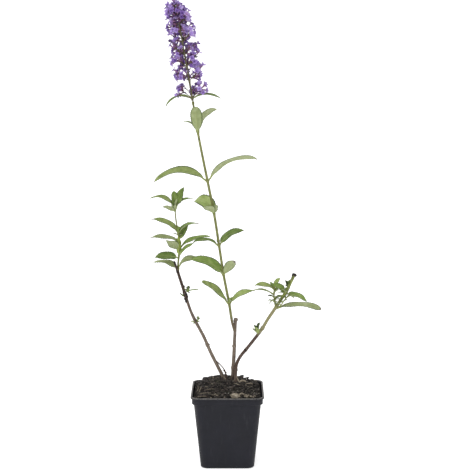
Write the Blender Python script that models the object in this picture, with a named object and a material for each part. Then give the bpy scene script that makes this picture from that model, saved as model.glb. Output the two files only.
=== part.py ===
"""Butterfly bush in a black square nursery pot.

Three short woody canes rise from a mound of peat. A green flowering stem grows from the
middle cane and ends in one purple flower panicle; the outer canes carry small leafy shoots.
Blender 4.5, metres, +Z up, origin at the centre of the pot's flat underside.
The pot's front faces -Y. All sizes below are in millimetres, turned to metres by MM.
"""

import math
import random
from collections import namedtuple

import bmesh
import bpy
from mathutils import Vector

MM = 0.001

# Room between neighbouring solids
GAP = 0.4

# Pot
POT_HEIGHT = 92.0
LIP_HALF = 45.0
LIP_TALL = 2.2
LIP_WIDE = 2.2
BAND_HALF = 43.4
BAND_TALL = 7.4
BODY_TOP_HALF = 41.2
BASE_HALF = 33.0
CORNER_RADIUS = 10.0
CORNER_STEPS = 5
WALL = 1.1
FLOOR = 1.5
DRAIN_RADIUS = 3.6
DRAIN_OUT = 17.0

# Soil
SOIL_EDGE_Z = 88.0
SOIL_TOP_Z = 103.0
MOUND_CENTRE = (-2.0, 9.0)
MOUND_SPREAD = (37.0, 31.0)
MOUND_EXTRA = 3.0
SOIL_RINGS = 9
LUMP = 0.7
FOOT_Z = SOIL_TOP_Z + GAP

# Limbs and leaves
LIMB_SIDES = 8
TWIG_SIDES = 6
RING_SPACING = 7.0
COLLAR_WALL = 1.0
COLLAR_TALL = 2.2
COLLAR_END = 0.86
LEAF_STATIONS = 6
LEAF_THICK = 0.9
LEAF_SLENDER = 75.0
TIP_THINNING = 0.35
STATION_SPREAD = 1.15
RIB_MARCHES = 24
PETIOLE_HALF = 0.7
PETIOLE_SHARE = 0.08
BLADE_RISE = 0.6
BLADE_FALL = 0.9
BLADE_CUP = 0.18
SUNK_IN_TWIG = 0.45

# Guide points (x, y, z, radius) that each limb passes through, foot to tip
CANE_MIDDLE = [
    (7.4, 4.0, FOOT_Z, 3.1), (7.8, 4.0, 110, 2.5), (7.7, 3.5, 121, 2.4),
    (8.2, 3.5, 133, 2.3), (8.9, 3.5, 154, 2.1), (10.0, 4.0, 182, 1.9),
]
CANE_LEFT = [
    (-2.2, 3.0, FOOT_Z, 2.8), (-5.0, 3.0, 109, 2.3), (-12.4, 3.0, 124, 2.0),
    (-20.2, 4.0, 138, 1.9), (-30.6, 6.0, 160, 1.9), (-39.8, 8.0, 176, 2.0),
    (-46.0, 10.0, 189, 1.8), (-53.4, 12.0, 211, 1.9), (-60.8, 14.5, 234, 1.9),
    (-66.6, 16.0, 251, 1.2),
]
CANE_RIGHT = [
    (11.6, -1.8, FOOT_Z, 2.3), (11.0, -1.8, 111, 2.0), (12.0, -1.8, 124, 1.9),
    (16.4, -2.5, 134, 1.8), (23.8, -4.0, 144, 1.8), (35.8, -7.0, 161, 1.8),
    (43.0, -8.8, 171, 1.9), (49.2, -10.0, 182, 1.7), (59.4, -12.5, 198, 1.9),
    (66.2, -14.0, 209, 1.7), (72.0, -15.0, 218, 1.9), (76.4, -16.0, 228, 1.7),
    (81.4, -17.0, 239, 1.6),
]
FLOWERING_STEM = [
    (9.0, 3.2, 164, 1.5), (6.4, 0.6, 174, 1.6), (2.0, -2.0, 201, 1.6),
    (-4.7, -4.0, 237, 1.5), (-10.3, -5.0, 274, 1.4), (-16.1, -5.0, 312, 1.35),
    (-24.2, -4.0, 353, 1.3), (-35.6, -2.0, 411, 1.2), (-41.8, -0.1, 449, 1.1),
]
RACHIS = [
    (-41.88, -0.08, 449.45, 1.3), (-45.9, 1.0, 474, 1.1), (-52.4, 2.6, 510, 0.9),
    (-59.4, 4.0, 549, 0.7), (-64.6, 5.0, 572, 0.5),
]
SHOOT_LEFT = [
    (-61.4, 15.0, 236, 1.3), (-61.8, 17.6, 245, 1.2), (-60.4, 17.6, 262, 1.1),
    (-60.3, 17.6, 276, 1.0), (-62.0, 17.8, 288, 0.9), (-64.9, 18.0, 312, 0.8),
    (-65.0, 18.0, 321, 0.7),
]
SHOOT_RIGHT = [
    (59.6, -13.6, 197, 1.0), (57.8, -15.2, 206, 0.9), (57.0, -14.6, 216, 0.8),
    (57.8, -14.0, 224, 0.7),
]
SIDE_TWIG_RIGHT = [
    (61.4, -14.2, 198, 0.8), (65.0, -17.0, 201, 0.7), (69.5, -18.0, 208, 0.7),
    (76.0, -18.4, 215, 0.6),
]
DRY_TWIG = [
    (-12.0, 2.6, 126, 0.7), (-8.4, -1.0, 122, 0.6), (-4.4, -2.0, 117, 0.6),
    (-1.8, -3.0, 110, 0.6), (-1.3, -3.5, FOOT_Z, 0.7),
]

# A leaf leaves its limb at height z. Heading turns from +X towards +Y, rise is the angle
# it starts up at, and droop is how far that angle has fallen at the tip. Roll turns the
# blade about its own rib.
Leaf = namedtuple("Leaf", "z heading rise droop length width roll")

STEM_LEAVES = {
    "leaf_pair_1": [
        Leaf(201, 200, 54, 29, 44, 11.4, -30), Leaf(201, 0, 54, 61, 35, 9, -35),
        Leaf(202.5, 40, 60, 30, 9, 3.6, 0),
    ],
    "leaf_pair_2": [
        Leaf(237, 172, 47, 66, 47, 15, 38), Leaf(237, -30, 66, 48, 24, 8.5, 60),
        Leaf(238, 215, 55, 20, 8, 3, 0),
    ],
    "leaf_pair_3": [
        Leaf(274, 200, 44, 73, 36, 10, 20), Leaf(274, 10, 62, 72, 38, 12, -35),
        Leaf(275, 110, 70, 20, 10, 4, 0),
    ],
    "leaf_pair_4": [
        Leaf(313, 140, 72, 108, 41, 15.6, 40), Leaf(313, 255, 74, 10, 14, 10, 0),
    ],
    "leaf_pair_5": [
        Leaf(353, 186, 42, 87, 70, 18, 25), Leaf(353, -10, 58, 69, 68, 17, 20),
    ],
    "leaf_pair_6": [
        Leaf(411, 262, 68, 20, 32, 14, -10), Leaf(411, 25, 80, 70, 38, 11, 60),
        Leaf(412, 160, 76, 86, 25, 7, 0),
    ],
}
BRACTS = [
    Leaf(453, 185, 29, 99, 37, 4.5, 30), Leaf(453, -8, 33, 70, 34, 4, -35),
]
SHOOT_LEFT_LEAVES = [
    Leaf(241, 150, 48, 68, 31, 10, 25), Leaf(244, 0, 62, 100, 29, 9, -30),
    Leaf(255, 200, 21, 36, 31, 13, 45), Leaf(259, -40, 45, 22, 32, 9, 5),
    Leaf(264, 228, 38, 20, 25, 11, -40), Leaf(268, -5, 45, 51, 43, 9.6, -25),
    Leaf(276, 190, 28, 44, 40, 10, 25), Leaf(277, 60, 50, 45, 30, 9, 0),
    Leaf(285, 20, 57, 30, 20, 6.5, -60), Leaf(286, -15, 62, 72, 33, 8.5, -15),
    Leaf(288, 175, 54, 63, 40, 10, 25), Leaf(313, 230, 34, 42, 24, 7.3, -45),
    Leaf(313, 100, 50, 50, 25, 7.3, 10), Leaf(317, 185, 68, 94, 33, 7.7, 25),
    Leaf(317, 0, 68, 84, 29, 6.7, -15), Leaf(319, 200, 82, 12, 18, 5.6, -60),
    Leaf(319, 15, 78, 35, 25, 9, -45),
]
SHOOT_RIGHT_LEAVES = [
    Leaf(206, 205, 40, 60, 10, 4, 0), Leaf(208, 20, 50, 80, 16, 5, -20),
    Leaf(215, 172, 35, 59, 26, 6, 5), Leaf(216, 50, 55, 60, 16, 5.5, 0),
    Leaf(221, 190, 43, 70, 24, 6.7, 40), Leaf(221, 95, 55, 60, 13, 5, 0),
    Leaf(222.5, 20, 80, 50, 14, 4.5, -35),
]
SIDE_TWIG_LEAVES = [
    Leaf(214, -35, 10, 70, 9, 4.5, 10), Leaf(213, 255, 30, 40, 7, 3.5, 0),
]
NODE_RIGHT_LOWER_LEAVES = [Leaf(198, -17, 23, 44, 56.5, 12, -20)]
NODE_RIGHT_UPPER_LEAVES = [
    Leaf(216, 10, 0, 46, 30, 8.4, -35), Leaf(216, 200, 64, 62, 18, 8, 65),
    Leaf(217, 235, 60, 70, 12, 5, 10), Leaf(217, 70, 45, 60, 15, 6, 0),
]
# Little leaves that break from a bare cane: heading, rise, length and width of each
TUFTS = {
    "bud_tuft_left_upper": (
        CANE_LEFT, 212,
        [(-20, 62, 9, 4), (25, 72, 8, 3.5), (5, 12, 13, 3), (205, 25, 9, 3.5), (225, -25, 8, 3)],
    ),
    "bud_tuft_left_lower": (
        CANE_LEFT, 176.5,
        [(-15, 50, 8, 4), (10, -5, 7, 3.5), (210, -10, 8, 3), (120, 40, 8, 3.5)],
    ),
    "bud_tuft_right": (
        CANE_RIGHT, 171.5,
        [(165, 62, 11, 5), (200, 30, 9, 4.5), (240, -5, 8, 3.5), (130, 50, 9, 4)],
    ),
    "bud_tuft_right_tip": (
        CANE_RIGHT, 226,
        [(165, 74, 9, 5), (215, 50, 7, 4)],
    ),
}

# Flower panicle
FLORET_SEED = 7
TIERS = 10
FIRST_INTERNODE = 20.0
INTERNODE_SHRINK = 0.87
REACH_BELOW = 20.5
REACH_ABOVE = 7.0
REACH_POWER = 3.0
CYMES_A_TIER = 4
INNER_CYME = 0.72
SIDE_FLORETS = 4
SIDE_SPACING = 1.5
FLORET_ROOM = 6.6
TIER_TURN = 38.0
CYME_LIFT = 40.0
LOBES = 4
LOBE_REACH = 4.8
LOBE_NOTCH = 2.9
TUBE_RADIUS = 0.7
TUBE_LENGTH = 8.0
THROAT_DEPTH = 1.3
EYE_DEPTH = 0.3
BUD_LENGTH = 5.0
BUD_RADIUS = 1.1
BUD_ROOT = 0.8
FAN_ANGLE = 46.0
TOP_BUDS = 7
PANICLE_TOP_Z = 576.0

COLOURS = {
    "pot": (0.032, 0.033, 0.038), "peat": (0.035, 0.024, 0.017), "bark": (0.13, 0.09, 0.062),
    "green_stem": (0.19, 0.24, 0.09), "leaf": (0.13, 0.21, 0.07), "flower": (0.19, 0.08, 0.48),
    "dry_wood": (0.2, 0.14, 0.08),
}
ROUGHNESS = {"pot": 0.45, "peat": 0.95, "bark": 0.85, "green_stem": 0.6, "leaf": 0.6,
             "flower": 0.7, "dry_wood": 0.8}


def clear_scene():
    for obj in list(bpy.data.objects):
        bpy.data.objects.remove(obj, do_unlink=True)


def material(name):
    made = bpy.data.materials.get(name)
    if made:
        return made
    made = bpy.data.materials.new(name)
    made.use_nodes = True
    shader = made.node_tree.nodes["Principled BSDF"]
    shader.inputs["Base Color"].default_value = (*COLOURS[name], 1)
    shader.inputs["Roughness"].default_value = ROUGHNESS[name]
    shader.inputs["Metallic"].default_value = 0
    made.diffuse_color = (*COLOURS[name], 1)
    return made


def mesh_object(name, points, faces, finish):
    """An object from points in millimetres; its faces are turned outwards."""
    mesh = bpy.data.meshes.new(name)
    mesh.from_pydata([Vector(p) * MM for p in points], [], faces)
    form = bmesh.new()
    form.from_mesh(mesh)
    bmesh.ops.recalc_face_normals(form, faces=form.faces)
    form.to_mesh(mesh)
    form.free()
    mesh.materials.append(material(finish))
    obj = bpy.data.objects.new(name, mesh)
    bpy.context.scene.collection.objects.link(obj)
    return obj


def smooth(obj, angle=40):
    obj.data.shade_smooth()
    obj.data.set_sharp_from_angle(angle=math.radians(angle))


def one_finish(obj, finish):
    """Gives the whole of obj one finish, whatever its joined pieces had."""
    obj.data.materials.clear()
    obj.data.materials.append(material(finish))


def apply_modifiers(obj):
    graph = bpy.context.evaluated_depsgraph_get()
    shaped = bpy.data.meshes.new_from_object(obj.evaluated_get(graph))
    obj.modifiers.clear()
    plain = obj.data
    obj.data = shaped
    shaped.name = obj.name
    bpy.data.meshes.remove(plain)


def remove(obj):
    mesh = obj.data
    bpy.data.objects.remove(obj, do_unlink=True)
    bpy.data.meshes.remove(mesh)


def fuse(core, others, solver="EXACT"):
    """Joins others to core by one union on a collection, and removes them."""
    group = bpy.data.collections.new(core.name + "_pieces")
    bpy.context.scene.collection.children.link(group)
    for other in others:
        bpy.context.scene.collection.objects.unlink(other)
        group.objects.link(other)
    union = core.modifiers.new("fused", "BOOLEAN")
    union.operation = "UNION"
    union.operand_type = "COLLECTION"
    union.collection = group
    union.solver = solver
    apply_modifiers(core)
    for other in others:
        remove(other)
    bpy.data.collections.remove(group)
    return core


def cut_clear(obj, cutter):
    """Cuts obj back from a cutter, which is then removed."""
    cut = obj.modifiers.new("cut", "BOOLEAN")
    cut.operation = "DIFFERENCE"
    cut.object = cutter
    apply_modifiers(obj)
    remove(cutter)


def drop_scraps(obj):
    """Keeps the largest body of obj, for a cut can leave a crumb beside it."""
    form = bmesh.new()
    form.from_mesh(obj.data)
    form.verts.ensure_lookup_table()
    unseen = set(form.verts)
    bodies = []
    while unseen:
        body = set()
        edge_of_body = [unseen.pop()]
        while edge_of_body:
            vert = edge_of_body.pop()
            body.add(vert)
            for edge in vert.link_edges:
                other = edge.other_vert(vert)
                if other in unseen:
                    unseen.remove(other)
                    edge_of_body.append(other)
        bodies.append(body)
    bodies.sort(key=len, reverse=True)
    crumbs = [vert for body in bodies[1:] for vert in body]
    bmesh.ops.delete(form, geom=crumbs, context="VERTS")
    form.to_mesh(obj.data)
    form.free()


def smooth_route(guide):
    """Points (place, radius) along one smooth curve through a limb's guide points."""
    places = [Vector(g[:3]) for g in guide]
    radii = [g[3] for g in guide]
    spans = [(b - a).length for a, b in zip(places, places[1:])]
    slopes = [(b - a) / span for a, b, span in zip(places, places[1:], spans)]
    tangents = [slopes[0]]
    for before, after, span_before, span_after in zip(slopes, slopes[1:], spans, spans[1:]):
        tangents.append((before * span_after + after * span_before) / (span_before + span_after))
    tangents.append(slopes[-1])
    route = []
    for i, span in enumerate(spans):
        steps = max(1, round(span / RING_SPACING))
        for k in range(steps):
            t = k / steps
            place = (
                places[i] * (2 * t**3 - 3 * t**2 + 1)
                + tangents[i] * span * (t**3 - 2 * t**2 + t)
                + places[i + 1] * (3 * t**2 - 2 * t**3)
                + tangents[i + 1] * span * (t**3 - t**2)
            )
            route.append((place, radii[i] + (radii[i + 1] - radii[i]) * t))
    route.append((places[-1], radii[-1]))
    return route


def tangents_of(places):
    last = len(places) - 1
    return [(places[min(i + 1, last)] - places[max(i - 1, 0)]).normalized()
            for i in range(len(places))]


def on_limb(guide, z):
    """Place, direction and radius of the limb at a height."""
    route = smooth_route(guide)
    for (a, radius_a), (b, radius_b) in zip(route, route[1:]):
        if a.z <= z <= b.z:
            t = (z - a.z) / (b.z - a.z)
            return a.lerp(b, t), (b - a).normalized(), radius_a + (radius_b - radius_a) * t
    place, radius = route[-1]
    return place, (place - route[-2][0]).normalized(), radius


def limb(name, guide, finish, sides=LIMB_SIDES, grow=0.0, flat_foot=False):
    """A tapering limb with flat ends. grow makes it thicker and longer, as a cutter."""
    route = smooth_route(guide)
    places = [place for place, _ in route]
    directions = tangents_of(places)
    if grow:
        places[0] = places[0] - directions[0] * grow
        places[-1] = places[-1] + directions[-1] * grow
    across = directions[0].orthogonal().normalized()
    points = []
    for place, direction, (_, radius) in zip(places, directions, route):
        across = (across - direction * across.dot(direction)).normalized()
        other = direction.cross(across)
        for k in range(sides):
            angle = math.tau * k / sides
            arm = (across * math.cos(angle) + other * math.sin(angle)) * (radius + grow)
            if flat_foot and place is places[0]:
                arm = arm - direction * (arm.z / direction.z)
            points.append(place + arm)
    rings = len(places)
    faces = []
    for ring in range(rings - 1):
        for k in range(sides):
            low = ring * sides
            high = low + sides
            nxt = (k + 1) % sides
            faces.append((low + k, low + nxt, high + nxt, high + k))
    faces.append(tuple(range(sides)))
    faces.append(tuple((rings - 1) * sides + k for k in range(sides)))
    obj = mesh_object(name, points, faces, finish)
    if grow:
        obj.hide_render = True
        obj.display_type = "WIRE"
    return obj


def cutter_of(guide):
    return limb("cutter", guide, "bark", grow=GAP)


def blade_half_width(t, width):
    """Half width at t along a lance-shaped leaf: a thin petiole, then the blade."""
    if t <= PETIOLE_SHARE:
        return PETIOLE_HALF
    u = (t - PETIOLE_SHARE) / (1 - PETIOLE_SHARE)
    peak = BLADE_RISE / (BLADE_RISE + BLADE_FALL)
    swell = (u / peak) ** BLADE_RISE * ((1 - u) / (1 - peak)) ** BLADE_FALL
    return max(swell * width / 2, PETIOLE_HALF * (1 - u))


def leaf_piece(root, leaf, stations=LEAF_STATIONS):
    """A closed lance-shaped blade, thickest along its rib, with a point at its tip."""
    heading = math.radians(leaf.heading)
    roll = math.radians(leaf.roll)
    level_side = Vector((math.sin(heading), -math.cos(heading), 0))
    place = Vector(root)
    rib = []
    for march in range(RIB_MARCHES + 1):
        rise = math.radians(leaf.rise - leaf.droop * march / RIB_MARCHES)
        along = Vector((math.cos(rise) * math.cos(heading), math.cos(rise) * math.sin(heading),
                        math.sin(rise)))
        rib.append((place.copy(), along))
        place = place + along * (leaf.length / RIB_MARCHES)
    shares = [0, PETIOLE_SHARE]
    for k in range(1, stations):
        shares.append(PETIOLE_SHARE + (1 - PETIOLE_SHARE) * (k / stations) ** STATION_SPREAD)
    points = []
    for t in shares:
        spot, along = rib[round(t * RIB_MARCHES)]
        level_up = level_side.cross(along)
        side = level_side * math.cos(roll) + level_up * math.sin(roll)
        up = level_up * math.cos(roll) - level_side * math.sin(roll)
        half = blade_half_width(t, leaf.width)
        thick = max(LEAF_THICK, leaf.length / LEAF_SLENDER) * (1 - TIP_THINNING * t)
        cup = up * half * BLADE_CUP if t > PETIOLE_SHARE else Vector()
        points += [spot - side * half + cup, spot + up * thick / 2,
                   spot + side * half + cup, spot - up * thick / 2]
    points.append(rib[-1][0])
    tip = len(points) - 1
    rings = len(shares)
    faces = [(0, 1, 2, 3)]
    for ring in range(rings - 1):
        for k in range(4):
            low = ring * 4
            nxt = (k + 1) % 4
            faces.append((low + k, low + nxt, low + 4 + nxt, low + 4 + k))
    for k in range(4):
        low = (rings - 1) * 4
        faces.append((low + k, low + (k + 1) % 4, tip))
    return mesh_object("leaf", points, faces, "leaf")


def leaf_on(guide, leaf, sunk, stations=LEAF_STATIONS):
    """A leaf whose petiole starts sunk this far inside its limb's or collar's skin."""
    place, direction, radius = on_limb(guide, leaf.z)
    heading = math.radians(leaf.heading)
    outwards = Vector((math.cos(heading), math.sin(heading), 0))
    outwards = (outwards - direction * outwards.dot(direction)).normalized()
    return leaf_piece(place + outwards * (radius - sunk), leaf, stations)


def collar(name, guide, z):
    """The swollen ring of a node, round its limb and clear of it."""
    place, direction, radius = on_limb(guide, z)
    outer = radius + GAP + COLLAR_WALL
    end = outer * COLLAR_END
    half = direction * COLLAR_TALL / 2
    return limb(name, [(*(place - half), end), (*place, outer), (*(place + half), end)], "leaf")


def leaf_whorl(name, guide, z, leaves, twigs=(), stations=LEAF_STATIONS):
    """Leaves, and twigs with theirs, that share one collar round a limb."""
    core = collar(name, guide, z)
    pieces = [leaf_on(guide, leaf, -(GAP + COLLAR_WALL / 2), stations) for leaf in leaves]
    for twig_guide, twig_leaves in twigs:
        pieces.append(limb("twig", twig_guide, "leaf", sides=TWIG_SIDES))
        pieces += [leaf_on(twig_guide, leaf, SUNK_IN_TWIG) for leaf in twig_leaves]
    fuse(core, pieces)
    cut_clear(core, cutter_of(guide))
    drop_scraps(core)
    one_finish(core, "leaf")


def rounded_square(half, corner, z, centre=(0.0, 0.0)):
    """Points round a square with round corners, anticlockwise seen from above."""
    points = []
    for quarter in range(4):
        corner_at = math.radians(45 + 90 * quarter)
        reach = (half - corner) * math.sqrt(2)
        cx = centre[0] + reach * math.cos(corner_at)
        cy = centre[1] + reach * math.sin(corner_at)
        for step in range(CORNER_STEPS + 1):
            angle = math.radians(90 * quarter + 90 * step / CORNER_STEPS)
            points.append((cx + corner * math.cos(angle), cy + corner * math.sin(angle), z))
    return points


def loft(name, rings, finish):
    """A closed body through rings of equal count, first to last, with flat ends."""
    count = len(rings[0])
    points = [point for ring in rings for point in ring]
    faces = []
    for ring in range(len(rings) - 1):
        for k in range(count):
            low = ring * count
            nxt = (k + 1) % count
            faces.append((low + k, low + nxt, low + count + nxt, low + count + k))
    faces.append(tuple(range(count)))
    faces.append(tuple((len(rings) - 1) * count + k for k in range(count)))
    return mesh_object(name, points, faces, finish)


def body_half(z):
    """Outer half width of the pot's tapering wall."""
    band_foot = POT_HEIGHT - LIP_TALL - BAND_TALL
    return BASE_HALF + (BODY_TOP_HALF - BASE_HALF) * z / band_foot


def make_pot():
    band_foot = POT_HEIGHT - LIP_TALL - BAND_TALL
    lip_foot = POT_HEIGHT - LIP_TALL
    outside = [
        (BASE_HALF - 1.8, 0.0), (BASE_HALF - 0.6, 0.5), (body_half(1.8), 1.8),
        (body_half(band_foot), band_foot), (BAND_HALF - 0.3, band_foot + 0.9),
        (BAND_HALF, lip_foot - 0.4), (LIP_HALF - 0.2, lip_foot), (LIP_HALF, lip_foot + 0.5),
        (LIP_HALF, POT_HEIGHT - 0.6), (LIP_HALF - 0.5, POT_HEIGHT),
    ]
    inside = [
        (LIP_HALF - LIP_WIDE, POT_HEIGHT), (LIP_HALF - LIP_WIDE - 0.4, POT_HEIGHT - 0.8),
        (BAND_HALF - WALL, lip_foot - 1.5), (BAND_HALF - WALL - 0.3, band_foot + 1.4),
        (body_half(band_foot) - WALL, band_foot - 0.6), (body_half(FLOOR + 1.5) - WALL, FLOOR + 1.5),
        (body_half(FLOOR) - WALL - 1.2, FLOOR),
    ]
    rings = []
    for half, z in outside + inside:
        rings.append(rounded_square(half, CORNER_RADIUS - (LIP_HALF - half) * 0.12, z))
    pot = loft("pot", rings, "pot")
    for x in (-DRAIN_OUT, DRAIN_OUT):
        for y in (-DRAIN_OUT, DRAIN_OUT):
            drill = limb("drill", [(x, y, -2, DRAIN_RADIUS), (x, y, FLOOR + 2, DRAIN_RADIUS)],
                         "pot", sides=16)
            cut_clear(pot, drill)
    smooth(pot)
    return pot


def soil_height(x, y, edge_share):
    """Height of the peat: a mound behind the middle, flat on top, lower along the wall."""
    dx = (x - MOUND_CENTRE[0]) / MOUND_SPREAD[0]
    dy = (y - MOUND_CENTRE[1]) / MOUND_SPREAD[1]
    mound = (SOIL_TOP_Z - SOIL_EDGE_Z + MOUND_EXTRA) * math.exp(-dx * dx - dy * dy)
    lumps = LUMP * (math.sin(x * 0.61 + 1) * math.cos(y * 0.53) + math.sin(x * 0.23 - y * 0.37))
    return min(SOIL_TOP_Z, SOIL_EDGE_Z + (mound + lumps) * edge_share)


def make_soil():
    band_foot = POT_HEIGHT - LIP_TALL - BAND_TALL
    wall = [
        (body_half(FLOOR) - WALL - 1.8, FLOOR + GAP), (body_half(FLOOR + 2) - WALL - 0.6, FLOOR + 2.2),
        (body_half(band_foot - 1) - WALL - GAP - 0.1, band_foot - 1),
        (BAND_HALF - WALL - 0.9, SOIL_EDGE_Z - 1.5),
    ]
    corner = CORNER_RADIUS - 1
    rings = [rounded_square(half, corner, z) for half, z in wall]
    widest = wall[-1][0]
    for step in range(SOIL_RINGS):
        share = step / SOIL_RINGS
        half = widest * (1 - share)
        centre = (MOUND_CENTRE[0] * share, MOUND_CENTRE[1] * share)
        edge_share = min(1.0, 4.5 * share)
        ring = []
        for x, y, _ in rounded_square(half, min(corner, half * 0.6) + half * 0.3 * share, 0, centre):
            ring.append((x, y, soil_height(x, y, edge_share)))
        rings.append(ring)
    soil = loft("potting_soil", rings, "peat")
    smooth(soil, 60)
    return soil


def floret(root, direction, length):
    """A closed trumpet: a thin three-sided tube that opens to four pointed lobes."""
    direction = direction.normalized()
    across = direction.orthogonal().normalized()
    other = direction.cross(across)
    mouth = root + direction * length

    def arm(turn, reach):
        return (across * math.cos(turn) + other * math.sin(turn)) * reach

    throat = mouth - direction * THROAT_DEPTH
    points = [root + arm(math.tau * k / 3, TUBE_RADIUS) for k in range(3)]
    points += [throat + arm(math.tau * k / 3, TUBE_RADIUS) for k in range(3)]
    for k in range(2 * LOBES):
        reach = LOBE_NOTCH if k % 2 else LOBE_REACH
        points.append(mouth + arm(math.pi * k / LOBES, reach))
    points.append(mouth - direction * EYE_DEPTH)
    rim = 6
    eye = rim + 2 * LOBES
    faces = [(0, 2, 1)]
    for k in range(3):
        faces.append((k, (k + 1) % 3, 3 + (k + 1) % 3, 3 + k))
    for k in range(2 * LOBES):
        faces.append((rim + k, rim + (k + 1) % (2 * LOBES), eye))
    nearest = [3, 3, 4, 4, 4, 5, 5, 5]
    for k in range(2 * LOBES):
        nxt = (k + 1) % (2 * LOBES)
        faces.append((rim + k, nearest[k], rim + nxt))
        if nearest[nxt] != nearest[k]:
            faces.append((nearest[k], nearest[nxt], rim + nxt))
    return mesh_object("floret", points, faces, "flower")


def bud(root, direction):
    """A closed spindle-shaped flower bud."""
    direction = direction.normalized()
    across = direction.orthogonal().normalized()
    other = direction.cross(across)
    waist = root + direction * BUD_LENGTH * 0.65
    points = [root - direction * BUD_ROOT]
    for k in range(4):
        angle = math.tau * k / 4
        points.append(waist + (across * math.cos(angle) + other * math.sin(angle)) * BUD_RADIUS)
    points.append(root + direction * BUD_LENGTH)
    faces = [(0, 1 + (k + 1) % 4, 1 + k) for k in range(4)]
    faces += [(5, 1 + k, 1 + (k + 1) % 4) for k in range(4)]
    return mesh_object("bud", points, faces, "flower")


def tier_heights():
    """Height of each tier of flowers up the rachis: the first sits in the bracts' axils."""
    z = RACHIS[0][2] + 3.5
    step = FIRST_INTERNODE
    heights = []
    for _ in range(TIERS):
        heights.append(z)
        z += step
        step *= INTERNODE_SHRINK
    return heights


def panicle_reach(z):
    """How far from the rachis the flowers of a tier reach."""
    share = (z - RACHIS[0][2]) / (RACHIS[-1][2] - RACHIS[0][2])
    return REACH_BELOW + (REACH_ABOVE - REACH_BELOW) * min(1, share) ** REACH_POWER


def cyme_aim(tier, side, up, dice):
    """Direction of one cyme's stalk: each tier is turned from the one below."""
    heading = math.radians(TIER_TURN * tier + 360 * side / CYMES_A_TIER + dice.uniform(-9, 9))
    lift = math.radians(CYME_LIFT + dice.uniform(-7, 7))
    out = Vector((math.cos(heading), math.sin(heading), 0))
    return (out * math.cos(lift) + up * math.sin(lift)).normalized(), lift


def cyme_florets(place, aim, stalk, dice):
    """Root, direction and length of a cyme's florets: one ends the stalk, some fan round it."""
    beside = aim.orthogonal().normalized()
    turn = dice.uniform(0, math.tau)
    yield place - aim * 0.3, aim, stalk + TUBE_LENGTH
    for n in range(SIDE_FLORETS):
        fan = math.radians(FAN_ANGLE * (0.8 + 0.4 * dice.random()))
        round_aim = turn + math.tau * n / SIDE_FLORETS
        tilt = beside * math.cos(round_aim) + aim.cross(beside) * math.sin(round_aim)
        root = place + aim * max(1.5, stalk - SIDE_SPACING * n)
        yield root, aim * math.cos(fan) + tilt * math.sin(fan), TUBE_LENGTH


def make_panicle():
    """Rachis, two bracts and tiers of little cymes, each a stalk with trumpet florets."""
    dice = random.Random(FLORET_SEED)
    core = limb("flower_panicle", RACHIS, "flower", sides=TWIG_SIDES)
    pieces = [leaf_on(RACHIS, leaf, 0.8) for leaf in BRACTS]
    mouths = []
    for tier, z in enumerate(tier_heights()):
        place, up, _ = on_limb(RACHIS, z)
        for side in range(CYMES_A_TIER):
            aim, lift = cyme_aim(tier, side, up, dice)
            reach = panicle_reach(z) * (INNER_CYME if side % 2 else 1)
            stalk = max(2.0, reach / math.cos(lift) - TUBE_LENGTH)
            for root, direction, length in cyme_florets(place, aim, stalk, dice):
                mouth = root + direction * length
                free = all((mouth - other).length > FLORET_ROOM for other in mouths)
                inside = RACHIS[0][2] + 4 < mouth.z < PANICLE_TOP_Z - LOBE_REACH * 0.8
                ends_stalk = direction is aim
                if (free or ends_stalk) and inside:
                    mouths.append(mouth)
                    pieces.append(floret(root, direction, length))
                elif ends_stalk:
                    break
    crown, up, _ = on_limb(RACHIS, RACHIS[-1][2] - 1)
    for n in range(TOP_BUDS):
        angle = math.tau * n / TOP_BUDS
        lean = 0.75 if n else 0.0
        out = Vector((math.cos(angle), math.sin(angle), 0)) * lean
        pieces.append(bud(crown - up * 3 * lean, up + out))
    fuse(core, pieces, solver="MANIFOLD")
    drop_scraps(core)
    one_finish(core, "flower")


def make_canes():
    canes = (("cane_middle", CANE_MIDDLE), ("cane_left", CANE_LEFT), ("cane_right", CANE_RIGHT))
    for name, guide in canes:
        smooth(limb(name, guide, "bark", flat_foot=True))


def make_flowering_stem():
    stem = limb("flowering_stem", FLOWERING_STEM, "green_stem")
    cut_clear(stem, cutter_of(CANE_MIDDLE))
    drop_scraps(stem)
    smooth(stem)


def make_dry_twig():
    twig = limb("dry_twig", DRY_TWIG, "dry_wood", sides=TWIG_SIDES)
    cut_clear(twig, cutter_of(CANE_LEFT))
    drop_scraps(twig)
    smooth(twig)


def make_left_shoot():
    shoot = limb("leafy_shoot_left", SHOOT_LEFT, "leaf", sides=TWIG_SIDES)
    fuse(shoot, [leaf_on(SHOOT_LEFT, leaf, SUNK_IN_TWIG) for leaf in SHOOT_LEFT_LEAVES])
    cut_clear(shoot, cutter_of(CANE_LEFT))
    drop_scraps(shoot)
    one_finish(shoot, "leaf")


def make_leaf_whorls():
    for name, leaves in STEM_LEAVES.items():
        leaf_whorl(name, FLOWERING_STEM, leaves[0].z, leaves)
    leaf_whorl("leafy_shoot_right", CANE_RIGHT, 198, NODE_RIGHT_LOWER_LEAVES,
               [(SHOOT_RIGHT, SHOOT_RIGHT_LEAVES), (SIDE_TWIG_RIGHT, SIDE_TWIG_LEAVES)])
    leaf_whorl("leaf_pair_right", CANE_RIGHT, 216.5, NODE_RIGHT_UPPER_LEAVES)
    for name, (guide, z, rows) in TUFTS.items():
        leaves = [Leaf(z, heading, rise, 30, length, width, 0)
                  for heading, rise, length, width in rows]
        leaf_whorl(name, guide, z, leaves, stations=4)


def main():
    clear_scene()
    make_pot()
    make_soil()
    make_canes()
    make_flowering_stem()
    make_dry_twig()
    make_left_shoot()
    make_leaf_whorls()
    make_panicle()


main()
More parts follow.
